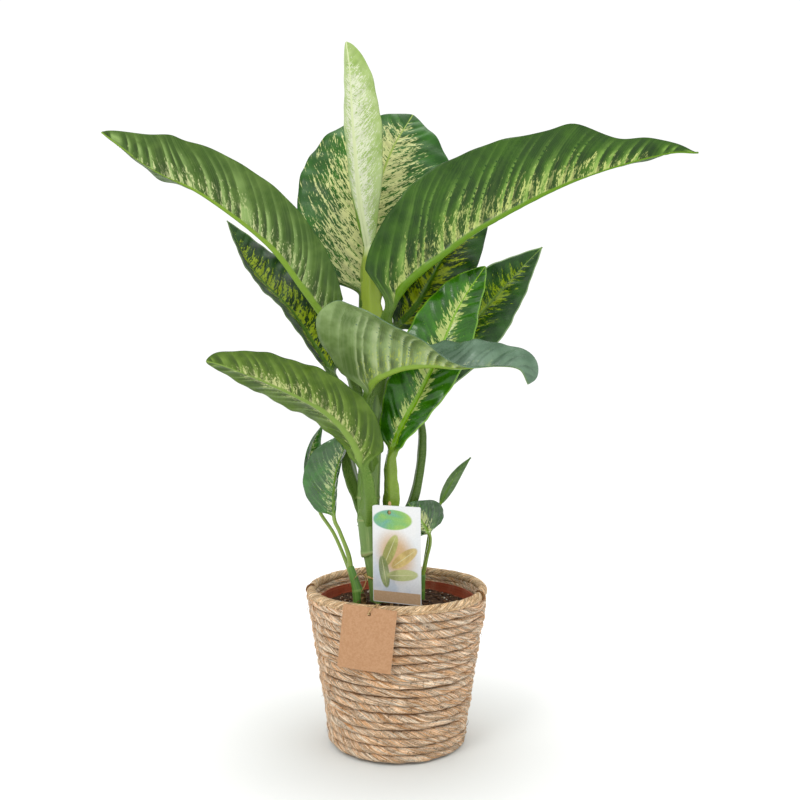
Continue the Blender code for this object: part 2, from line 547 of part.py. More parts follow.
def raffia_tie():
    """One turn of raffia round the cane and the card's stick."""
    share = (TIE_Z - CANE[2][2]) / (CANE[3][2] - CANE[2][2])
    cane = Vector(CANE[2][:3]).lerp(Vector(CANE[3][:3]), share)
    post = Vector(STICK[0]).lerp(Vector(STICK[1]), (TIE_Z - STICK[0][2]) / (STICK[1][2] - STICK[0][2]))
    spread = (post - cane).normalized()
    side = Vector((-spread.y, spread.x, 0.0))
    around_cane = CANE[3][3] + TIE_RADIUS + GAP
    around_post = STICK_RADIUS + TIE_RADIUS + GAP
    points = []
    for angle in range(90, 271, 20):
        turn = math.radians(angle)
        points.append(cane + around_cane * (spread * math.cos(turn) + side * math.sin(turn)))
    for angle in range(-80, 81, 32):
        turn = math.radians(angle)
        points.append(post + around_post * (spread * math.cos(turn) + side * math.sin(turn)))
    return place("raffia_tie", tube_mesh("raffia_tie", points, [TIE_RADIUS] * len(points), 1, closed=True), "raffia")


# ---- build --------------------------------------------------------------------------------------
basket_wall()
basket_rim()
nursery_pot()

stem("main_cane", CANE)
stem("shoot_stem_left", SHOOT_LEFT)
stem("shoot_stem_right", SHOOT_RIGHT)
stick_line = [(*point, STICK_RADIUS) for point in STICK]
stem("card_stick", stick_line, "bamboo")
bud_line = [(*BUD[0], BUD_RADIUS), (*BUD[1], BUD_RADIUS), (*BUD[2], BUD_RADIUS * 0.3)]

cane_room = clearance("cane_room", CANE)
left_room = clearance("left_room", SHOOT_LEFT)
right_room = clearance("right_room", SHOOT_RIGHT)
stick_room = clearance("stick_room", stick_line)
bud_room = clearance("bud_room", bud_line)
bud = stem("basal_bud", bud_line, "bud")
soil([cane_room, left_room, right_room, stick_room, bud_room])

PALE = ("leaf_newest",)
FRESH = ("leaf_young", "leaf_shoot_left", "leaf_shoot_behind", "leaf_shoot_right", "leaf_shoot_tip")
for leaf_name, leaf_spec in LEAVES.items():
    leaf_finish = "leaf_pale" if leaf_name in PALE else "leaf_fresh" if leaf_name in FRESH else "leaf_mature"
    grows_from = None if leaf_name == "leaf_newest" else cane_room
    if leaf_name in ("leaf_shoot_left", "leaf_shoot_behind"):
        grows_from = left_room
    elif leaf_name in ("leaf_shoot_right", "leaf_shoot_tip"):
        grows_from = right_room
    leaf(leaf_name, leaf_spec, leaf_finish, grows_from)

card_turned = Matrix.Rotation(CARD_TURN, 4, "Z") @ Matrix.Rotation(CARD_ROLL, 4, "Y")
card_placing = Matrix.Translation(CARD_CENTRE) @ card_turned
flat_board("care_card", CARD_SIZE, CARD_THICKNESS, CARD_HOLE, CARD_HOLE_RADIUS, "card", card_placing)
flat_board("kraft_tag", TAG_SIZE, TAG_THICKNESS, TAG_HOLE, TAG_HOLE_RADIUS, "kraft", tag_placing())
string_points = string_line()
place("tag_string", tube_mesh("tag_string", string_points, [STRING_RADIUS] * len(string_points), 1, closed=True),
      "twine")
raffia_tie()
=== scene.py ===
# %% [markdown]
# # A potted dieffenbachia in a seagrass basket
#
# This lesson dresses a plain CAD plant as the living thing: patterned leaves with real veins, a
# jointed cane, loose potting soil, a basket wound from twisted seagrass, and the small card, tag,
# twine and raffia that come with such a plant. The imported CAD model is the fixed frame. Every piece
# below stands in the same coordinates, in metres, with +Z up and the plant facing -Y.

import math
import random

import bmesh
import bpy
import numpy as np
from mathutils import Matrix, Vector
from mathutils import noise as random_field


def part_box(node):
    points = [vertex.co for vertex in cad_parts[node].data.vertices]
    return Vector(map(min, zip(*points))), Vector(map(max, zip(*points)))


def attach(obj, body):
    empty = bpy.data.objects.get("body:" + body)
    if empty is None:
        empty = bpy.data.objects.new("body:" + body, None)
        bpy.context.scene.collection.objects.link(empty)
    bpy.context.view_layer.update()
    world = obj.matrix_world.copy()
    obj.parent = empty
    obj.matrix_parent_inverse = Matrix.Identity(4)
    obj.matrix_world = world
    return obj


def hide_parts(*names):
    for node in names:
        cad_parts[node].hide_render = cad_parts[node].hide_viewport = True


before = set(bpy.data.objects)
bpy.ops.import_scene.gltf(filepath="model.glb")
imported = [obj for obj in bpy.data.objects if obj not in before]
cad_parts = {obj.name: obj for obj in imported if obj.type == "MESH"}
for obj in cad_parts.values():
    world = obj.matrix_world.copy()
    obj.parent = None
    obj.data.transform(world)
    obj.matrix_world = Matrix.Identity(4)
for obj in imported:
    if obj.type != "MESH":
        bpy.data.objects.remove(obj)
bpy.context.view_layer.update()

# %% [markdown]
# ## Camera
# A plant this tall shows best from just above half its height, with the camera tipped down a little so
# that the soil shows inside the rim. A 40 mm lens about a metre away gives a mild perspective: the near
# leaves look a touch larger than the far ones.

# %% Camera
CAMERA_AT = (0.0031, -0.934, 0.3845)
CAMERA_TIP = 0.028
camera_data = bpy.data.cameras.new("plant_camera")
camera_data.lens = 40.0
camera_data.sensor_width = 36.0
camera = bpy.data.objects.new("plant_camera", camera_data)
camera.location = CAMERA_AT
camera.rotation_euler = (math.pi / 2 - CAMERA_TIP, 0.0, 0.0)
bpy.context.scene.collection.objects.link(camera)
bpy.context.scene.camera = camera
bpy.context.scene.view_settings.view_transform = "Standard"
print("camera at", CAMERA_AT)

# %% [markdown]
# ## Helpers for finishes
# Every finish here is a small graph of shader nodes. Two short helpers keep those graphs readable:
# `paint` turns an everyday 0 to 255 colour into Blender's linear one, and `add` makes one node and
# feeds its inputs, either with a number or with another node's output.

# %% Node helpers
STUDIO_GAIN = 0.72


def paint(red, green, blue):
    """A colour as it looks in this bright studio, 0 to 255, as the linear colour of the surface itself."""
    def linear(value):
        """One channel, undone of its display curve and dimmed to the studio's light."""
        share = value / 255.0
        lit = share / 12.92 if share <= 0.04045 else ((share + 0.055) / 1.055) ** 2.4
        return lit * STUDIO_GAIN
    return (linear(red), linear(green), linear(blue), 1.0)


def add(tree, kind, feeds=None, **settings):
    """One shader node. `feeds` maps input names or numbers to a value or to another node's output."""
    made = tree.nodes.new("ShaderNode" + kind)
    for key, value in settings.items():
        setattr(made, key, value)
    for slot, value in (feeds or {}).items():
        if isinstance(value, bpy.types.NodeSocket):
            tree.links.new(value, made.inputs[slot])
        else:
            made.inputs[slot].default_value = value
    return made


def new_finish(name, roughness, specular=0.5):
    """An empty Principled finish: returns the material, its tree and its shader."""
    material = bpy.data.materials.new(name)
    material.use_nodes = True
    shader = material.node_tree.nodes["Principled BSDF"]
    shader.inputs["Roughness"].default_value = roughness
    shader.inputs["Specular IOR Level"].default_value = specular
    return material, material.node_tree, shader


def sums(tree, operation, first, second=0.0):
    """One Math node: `first` and `second` under this operation."""
    return add(tree, "Math", {0: first, 1: second}, operation=operation).outputs[0]


def times(tree, first, second):
    """Two values multiplied."""
    return sums(tree, "MULTIPLY", first, second)


def plus(tree, first, second):
    """Two values added."""
    return sums(tree, "ADD", first, second)


def blend(tree, share, first, second, way="MIX"):
    """Two colours mixed by `share`."""
    mixer = add(tree, "Mix", {0: share, 6: first, 7: second}, data_type="RGBA", blend_type=way)
    return mixer.outputs[2]


def fade(tree, value, start, end, low=0.0, high=1.0):
    """`value` between start and end, smoothly turned into low to high."""
    return add(tree, "MapRange", {0: value, 1: start, 2: end, 3: low, 4: high},
               interpolation_type="SMOOTHSTEP").outputs[0]


def grain(tree, spot, scale=1.0, detail=3.0, roughness=0.6, twist=0.0):
    """Soft random values, 0 to 1, over the coordinates `spot`."""
    feeds = {"Scale": scale, "Detail": detail, "Roughness": roughness, "Distortion": twist}
    if spot is not None:
        feeds["Vector"] = spot
    return add(tree, "TexNoise", feeds).outputs["Fac"]


def stretched(tree, spot, factors, shift=(0.0, 0.0, 0.0)):
    """Coordinates scaled by different factors along X, Y and Z."""
    return add(tree, "Mapping", {"Vector": spot, "Location": shift, "Scale": factors}).outputs[0]


def written(tree, name):
    """The vector that the mesh carries under this name, as one output and as its three numbers."""
    vector = add(tree, "Attribute", attribute_name=name, attribute_type="GEOMETRY").outputs["Vector"]
    parts = add(tree, "SeparateXYZ", {0: vector}).outputs
    return vector, parts[0], parts[1], parts[2]


def relief(tree, shader, height, depth, strength=1.0):
    """Fine relief too small for the mesh, `depth` metres deep."""
    bump = add(tree, "Bump", {"Height": height, "Distance": depth, "Strength": strength})
    tree.links.new(bump.outputs[0], shader.inputs["Normal"])


def colour_steps(tree, value, steps):
    """A colour ramp through (place, colour) steps."""
    ramp = add(tree, "ValToRGB", {0: value})
    band = ramp.color_ramp
    while len(band.elements) < len(steps):
        band.elements.new(0.5)
    for element, (place, colour) in zip(band.elements, steps):
        element.position = place
        element.color = colour
    return ramp.outputs[0]


# %% [markdown]
# ## Helpers for pieces
# A piece is a mesh object that rides on the plant's only body, takes the finishes it is given and
# may stand for a CAD node, which it hides. The mesh also carries named vectors, such as "how far
# along the blade", which the finishes read, so patterns follow the shape and not the world.

# %% Piece helpers
GAP = 0.0003


def make_piece(name, vertices, faces, finishes, stands_for=(), carried=None, which=None,
               smooth=True):
    """A mesh piece from vertex and face lists, put on the plant's body, hiding the CAD nodes it stands for.
    """
    mesh = bpy.data.meshes.new(name)
    mesh.from_pydata([tuple(map(float, v)) for v in vertices], [], [tuple(map(int, f)) for f in faces])
    for key, values in (carried or {}).items():
        layer = mesh.attributes.new(key, "FLOAT_VECTOR", "POINT")
        layer.data.foreach_set("vector", np.asarray(values, np.float32).reshape(-1))
    for finish in finishes:
        mesh.materials.append(finish)
    if which is not None:
        mesh.polygons.foreach_set("material_index", np.asarray(which, np.int32))
    mesh.polygons.foreach_set("use_smooth", np.full(len(mesh.polygons), smooth))
    mesh.update()
    piece = bpy.data.objects.new(name, mesh)
    bpy.context.scene.collection.objects.link(piece)
    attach(piece, "root")
    if stands_for:
        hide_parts(*stands_for)
    print(f"{name}: {len(mesh.vertices)} points, {len(mesh.polygons)} faces")
    return piece


def ring_faces(rings, around, closed_run=False, first=0):
    """Quads that join rings of `around` points, one ring to the next."""
    quads = []
    for ring in range(rings if closed_run else rings - 1):
        here = first + ring * around
        there = first + ((ring + 1) % rings) * around
        for spot in range(around):
            after = (spot + 1) % around
            quads.append((here + spot, here + after, there + after, there + spot))
    return quads


SPAN_STEPS = 16                  # points per span of a smooth line


def smooth_line(points, per_span=SPAN_STEPS):
    """A Catmull-Rom curve through the points."""
    knots = np.array(points, float)
    knots = np.vstack([2 * knots[0] - knots[1], knots, 2 * knots[-1] - knots[-2]])
    line = []
    for before, start, end, after in zip(knots, knots[1:], knots[2:], knots[3:]):
        for step in range(per_span):
            t = step / per_span
            squared = (2 * before - 5 * start + 4 * end - after) * t**2
            cubed = (3 * start - before - 3 * end + after) * t**3
            line.append(0.5 * (2 * start + (end - before) * t + squared + cubed))
    return np.array(line + [knots[-2]])


def lengths(line):
    """How far along the line each of its points is, in metres."""
    return np.concatenate([[0.0], np.cumsum(np.linalg.norm(np.diff(line, axis=0), axis=1))])


def along(line, shares):
    """Points at these shares of the line's length."""
    reach = lengths(line)
    reach = reach / reach[-1]
    return np.stack([np.interp(shares, reach, line[:, axis]) for axis in range(line.shape[1])], axis=1)


def unit(vector):
    """The vector at a length of one."""
    return vector / np.linalg.norm(vector)


# %% [markdown]
# ## Floor and light
# A plant like this is usually shown on a white sweep. The floor is one pale plane with a painted shadow,
# greyer where the pot stands, and the surroundings are even white. Three large soft lamps give the leaves
# their sheen: a key from the upper left in front, a weaker fill from the right and a light from above.

# %% Floor and light
FLOOR_HALF = 30.0
floor_mesh = bpy.data.meshes.new("studio_floor")
floor_mesh.from_pydata([(-FLOOR_HALF, -FLOOR_HALF, 0), (FLOOR_HALF, -FLOOR_HALF, 0),
                        (FLOOR_HALF, FLOOR_HALF, 0), (-FLOOR_HALF, FLOOR_HALF, 0)], [], [(0, 1, 2, 3)])
floor_paper, floor_tree, floor_shader = new_finish("floor_paper", 0.9, 0.1)
floor_spot = add(floor_tree, "TexCoord").outputs["Object"]
floor_reach = add(floor_tree, "VectorMath", {0: floor_spot}, operation="LENGTH").outputs["Value"]
# painted shadow: the paper is greyer near the pot and fades to plain paper between 6 and 34 cm out
PAPER_IN_PAINTED_SHADOW = (0.74, 0.765, 0.75, 1.0)
FAR_PAPER = (0.98, 0.985, 0.98, 1.0)
floor_with_painted_shadow = blend(floor_tree, fade(floor_tree, floor_reach, 0.06, 0.34), PAPER_IN_PAINTED_SHADOW, FAR_PAPER)
floor_tree.links.new(floor_with_painted_shadow, floor_shader.inputs["Base Color"])
floor_mesh.materials.append(floor_paper)
floor = bpy.data.objects.new("studio_floor", floor_mesh)
bpy.context.scene.collection.objects.link(floor)

sky = bpy.data.worlds.new("white_studio")
bpy.context.scene.world = sky
sky.use_nodes = True
sky.node_tree.nodes["Background"].inputs["Color"].default_value = (1.0, 1.0, 1.0, 1.0)
sky.node_tree.nodes["Background"].inputs["Strength"].default_value = 1.06


def soft_lamp(name, spot, aim, size, watts):
    """A square area lamp at `spot` that shines on `aim`."""
    data = bpy.data.lights.new(name, "AREA")
    data.energy = watts
    data.size = size
    lamp = bpy.data.objects.new(name, data)
    lamp.location = spot
    lamp.rotation_euler = (Vector(aim) - Vector(spot)).to_track_quat("-Z", "Y").to_euler()
    bpy.context.scene.collection.objects.link(lamp)
    return lamp


PLANT_MIDDLE = (0.0, 0.0, 0.40)
soft_lamp("key_lamp", (-0.9, -1.3, 1.5), PLANT_MIDDLE, 0.7, 11.0)
soft_lamp("fill_lamp", (1.4, -0.9, 0.9), PLANT_MIDDLE, 0.9, 3.0)
soft_lamp("top_lamp", (0.1, 0.3, 1.9), PLANT_MIDDLE, 0.8, 5.0)
print("floor and 3 lamps")

# %% [markdown]
# ## Leaves: the lines they grow on
# Each leaf is described by the line of its stalk and midrib, by the directions in which its two
# halves spread, and by an outline. Those few points are the plant's pose. The alternative, a flat
# leaf bent by modifiers, makes it hard to say where the tip ends up, and here every tip has its place.

# %% Leaf lines
# Each leaf: the stalk's centre line, the midrib on to the tip, the directions in which the left and
# the right half spread (at the base, in the middle, at the tip), their half widths, the curl of each
# half towards the underside, the outline (roundness of the base, where it is widest, fullness of the
# tip) and the stalk's radius.
LEAVES = {
    "leaf_upper_left": dict(
        stalk=[(-0.026, 0.000, 0.318), (-0.036, -0.006, 0.350), (-0.050, -0.010, 0.390)],
        rib=[(-0.066, -0.012, 0.431), (-0.094, -0.022, 0.470), (-0.130, -0.036, 0.516),
             (-0.189, -0.055, 0.560), (-0.239, -0.066, 0.585), (-0.284, -0.072, 0.618)],
        left=[(0.95, -0.10, 0.18), (0.55, -0.10, 0.80), (0.10, -0.10, 0.95)],
        right=[(0.20, 0.95, 0.10), (0.10, 0.95, 0.25), (-0.10, 0.90, 0.10)],
        width=(0.0485, 0.056), curl=(0.3, 0.3), outline=(0.33, 0.50, 0.72), stem=0.0045),
    "leaf_left_back": dict(
        stalk=[(-0.029, 0.002, 0.230), (-0.045, 0.012, 0.266), (-0.0535, 0.018, 0.294),
               (-0.060, 0.025, 0.345)],
        rib=[(-0.068, 0.030, 0.381), (-0.096, 0.045, 0.424), (-0.119, 0.058, 0.457),
             (-0.155, 0.075, 0.493), (-0.179, 0.088, 0.529), (-0.197, 0.100, 0.563)],
        left=[(-0.30, -0.85, 0.05), (-0.20, -0.90, 0.00), (-0.20, -0.90, 0.00)],
        right=[(0.70, 0.45, 0.25), (0.75, 0.40, 0.40), (0.70, 0.40, 0.40)],
        width=(0.0215, 0.052), curl=(0.2, 0.2), outline=(0.60, 0.40, 0.90), stem=0.0042),
    "leaf_back": dict(
        stalk=[(-0.024, 0.001, 0.345), (-0.031, 0.014, 0.385), (-0.036, 0.022, 0.430)],
        rib=[(-0.037, 0.025, 0.468), (-0.034, 0.036, 0.518), (-0.023, 0.052, 0.583),
             (-0.006, 0.076, 0.638), (0.018, 0.105, 0.686)],
        left=[(-0.95, -0.20, 0.10), (-0.98, -0.15, 0.05), (-0.90, -0.10, 0.15)],
        right=[(0.95, -0.20, -0.10), (0.98, -0.15, -0.10), (0.95, -0.15, -0.15)],
        width=(0.087, 0.090), curl=(0.3, 0.3), outline=(0.36, 0.55, 0.72), stem=0.0042),
    "leaf_newest": dict(
        stalk=[(-0.0235, 0.001, 0.4064), (-0.0250, 0.000, 0.425), (-0.0270, 0.000, 0.465)],
        rib=[(-0.029, 0.000, 0.503), (-0.039, -0.001, 0.562), (-0.044, -0.003, 0.618),
             (-0.047, -0.004, 0.659), (-0.049, -0.003, 0.699), (-0.053, 0.000, 0.731)],
        left=[(-0.70, 0.65, 0.10), (-0.70, 0.65, 0.05), (-0.60, 0.70, 0.10)],
        right=[(0.95, -0.10, 0.10), (0.98, 0.05, 0.08), (0.95, 0.25, 0.10)],
        width=(0.018, 0.032), curl=(0.5, 0.5), outline=(0.80, 0.62, 0.45), stem=0.0046),
    "leaf_upper_right": dict(
        stalk=[(-0.024, 0.000, 0.338), (-0.016, 0.000, 0.375), (-0.0105, -0.004, 0.412)],
        rib=[(-0.010, -0.012, 0.448), (0.009, -0.018, 0.477), (0.049, -0.030, 0.508),
             (0.091, -0.042, 0.535), (0.174, -0.060, 0.574), (0.256, -0.070, 0.597), (0.291, -0.070, 0.599)],
        left=[(0.10, 0.93, 0.30), (0.12, 0.90, 0.42), (0.15, 0.90, 0.15)],
        right=[(-0.52, -0.10, 0.83), (-0.38, -0.10, 0.91), (-0.10, -0.15, 0.95)],
        width=(0.060, 0.0755), curl=(0.2, 0.4), outline=(0.52, 0.32, 1.12), stem=0.0050),
    "leaf_right_back": dict(
        stalk=[(-0.024, 0.000, 0.318), (-0.014, 0.016, 0.352), (-0.009, 0.025, 0.395)],
        rib=[(-0.004, 0.030, 0.433), (0.022, 0.042, 0.462), (0.048, 0.060, 0.510),
             (0.077, 0.080, 0.555), (0.107, 0.100, 0.598)],
        left=[(-0.75, 0.05, 0.55), (-0.75, 0.00, 0.60), (-0.70, 0.10, 0.50)],
        right=[(0.75, -0.25, -0.30), (0.75, -0.25, -0.35), (0.70, -0.20, -0.40)],
        width=(0.046, 0.040), curl=(0.3, 0.3), outline=(0.60, 0.42, 0.90), stem=0.0040),
    "leaf_right": dict(
        stalk=[(-0.0225, 0.004, 0.188), (-0.003, 0.012, 0.214), (0.0164, 0.013, 0.249),
               (0.0245, 0.014, 0.284), (0.0272, 0.015, 0.318)],
        rib=[(0.026, 0.016, 0.345), (0.042, 0.026, 0.385), (0.071, 0.040, 0.425),
             (0.109, 0.056, 0.471), (0.140, 0.070, 0.505), (0.165, 0.082, 0.530)],
        left=[(-0.80, 0.15, 0.45), (-0.75, 0.10, 0.60), (-0.75, 0.10, 0.55)],
        right=[(0.60, -0.60, -0.10), (0.70, -0.50, -0.30), (0.70, -0.40, -0.30)],
        width=(0.044, 0.036), curl=(0.2, 0.9), outline=(0.75, 0.45, 0.95), stem=0.0036),
    "leaf_young": dict(
        stalk=[(-0.0225, -0.003, 0.178), (-0.0110, -0.008, 0.206), (-0.0060, -0.007, 0.252)],
        rib=[(-0.006, -0.008, 0.299), (0.005, -0.014, 0.330), (0.028, -0.020, 0.374),
             (0.047, -0.018, 0.416), (0.065, -0.008, 0.457), (0.093, 0.006, 0.499)],
        left=[(-0.90, 0.00, 0.35), (-0.85, 0.00, 0.50), (-0.75, 0.00, 0.60)],
        right=[(0.25, -0.95, 0.00), (0.60, -0.50, -0.40), (0.85, -0.10, -0.45)],
        width=(0.040, 0.030), curl=(0.3, 0.5), outline=(0.55, 0.50, 0.70), stem=0.0044),
    "leaf_front": dict(
        stalk=[(-0.0270, -0.002, 0.276), (-0.0300, -0.020, 0.312), (-0.0315, -0.028, 0.340)],
        rib=[(-0.031, -0.032, 0.363), (-0.021, -0.040, 0.379), (0.005, -0.055, 0.390),
             (0.035, -0.072, 0.393), (0.060, -0.086, 0.391), (0.094, -0.100, 0.393),
             (0.114, -0.107, 0.390), (0.122, -0.111, 0.376)],
        left=[(-0.10, 0.90, 0.20), (0.10, 0.70, 0.60), (0.00, 0.40, 0.90), (0.40, 0.35, 0.85)],
        right=[(-0.40, 0.10, 0.75), (0.41, -0.80, 1.20), (-0.05, -0.90, 0.20), (0.00, -0.95, 0.00)],
        width=(0.036, 0.087), curl=(0.3, 0.4), outline=((0.50, 0.30, 0.36), (1.0, 0.295, 4.75)),
        lobe=0.556, stem=0.0042),
    "leaf_lower_left": dict(
        stalk=[(-0.0300, -0.002, 0.222), (-0.0290, -0.018, 0.248), (-0.0300, -0.025, 0.268)],
        rib=[(-0.033, -0.026, 0.287), (-0.048, -0.034, 0.321), (-0.076, -0.046, 0.350),
             (-0.125, -0.066, 0.376), (-0.165, -0.080, 0.393), (-0.182, -0.085, 0.398)],
        left=[(0.80, -0.25, 0.50), (0.55, -0.30, 0.75), (0.20, -0.30, 0.90)],
        right=[(-0.40, 0.85, -0.20), (-0.25, 0.85, -0.35), (-0.15, 0.80, -0.40)],
        width=(0.042, 0.030), curl=(0.35, 0.2), outline=(0.35, 0.38, 0.55), stem=0.0045),
    "leaf_shoot_left": dict(
        stalk=[(-0.0490, 0.000, 0.181), (-0.0520, 0.003, 0.196), (-0.0610, 0.007, 0.218)],
        rib=[(-0.067, 0.007, 0.233), (-0.067, 0.004, 0.262), (-0.063, 0.001, 0.288),
             (-0.055, -0.003, 0.308), (-0.047, -0.005, 0.322)],
        left=[(-0.95, -0.20, 0.10), (-0.92, -0.30, 0.25), (-0.80, -0.30, 0.50)],
        right=[(0.40, 0.85, 0.00), (0.35, 0.90, 0.00), (0.40, 0.80, -0.20)],
        width=(0.034, 0.010), curl=(0.5, 0.2), outline=(0.50, 0.45, 0.80), stem=0.0022),
    "leaf_shoot_behind": dict(
        stalk=[(-0.0440, 0.000, 0.158), (-0.0530, 0.014, 0.180), (-0.0680, 0.024, 0.212)],
        rib=[(-0.083, 0.028, 0.234), (-0.092, 0.030, 0.255), (-0.096, 0.032, 0.281),
             (-0.093, 0.036, 0.308), (-0.082, 0.040, 0.330)],
        left=[(-0.60, -0.75, -0.10), (-0.50, -0.80, 0.10), (-0.40, -0.80, 0.20)],
        right=[(0.80, 0.50, 0.10), (0.85, 0.45, 0.10), (0.80, 0.45, 0.00)],
        width=(0.008, 0.018), curl=(0.2, 0.2), outline=(0.60, 0.45, 0.90), stem=0.0020),
    "leaf_shoot_right": dict(
        stalk=[(0.0268, 0.008, 0.170), (0.0315, 0.008, 0.190), (0.0350, 0.007, 0.205)],
        rib=[(0.034, 0.005, 0.216), (0.026, 0.001, 0.230), (0.018, -0.002, 0.241), (0.012, -0.003, 0.250)],
        left=[(-0.70, 0.00, -0.70), (-0.70, 0.00, -0.70), (-0.70, 0.00, -0.70)],
        right=[(0.85, 0.10, 0.45), (0.75, 0.05, 0.65), (0.50, 0.05, 0.80)],
        width=(0.018, 0.027), curl=(0.3, 0.3), outline=(0.35, 0.40, 0.70), stem=0.0020),
    "leaf_shoot_tip": dict(
        stalk=[(0.0252, 0.009, 0.156), (0.0300, 0.021, 0.182), (0.0370, 0.026, 0.222)],
        rib=[(0.046, 0.028, 0.243), (0.056, 0.030, 0.262), (0.067, 0.033, 0.279), (0.0805, 0.036, 0.2945)],
        left=[(-0.60, 0.50, 0.50), (-0.60, 0.50, 0.50), (-0.60, 0.50, 0.50)],
        right=[(0.70, -0.20, -0.40), (0.70, -0.20, -0.40), (0.70, -0.20, -0.40)],
        width=(0.007, 0.006), curl=(0.2, 0.2), outline=(0.70, 0.40, 0.90), stem=0.0018),
}
print(len(LEAVES), "leaves described")

# %% [markdown]
# ## Leaves: finishes
# A dieffenbachia blade is dark green with cream feathering that follows its side veins and thins out
# towards the margin. The underside shows the same pattern, duller, with the veins standing out pale.
# The mesh says how far along, how far out and on which vein each point lies, so one graph with
# different colours serves every leaf: streaks are noise stretched along the veins. Besides the relief
# of the mesh, the folds between the side veins are painted: a band of painted shade just past each
# vein and painted highlights on the vein crests.

# %% Leaf finish
VEIN_STEP = 0.0165


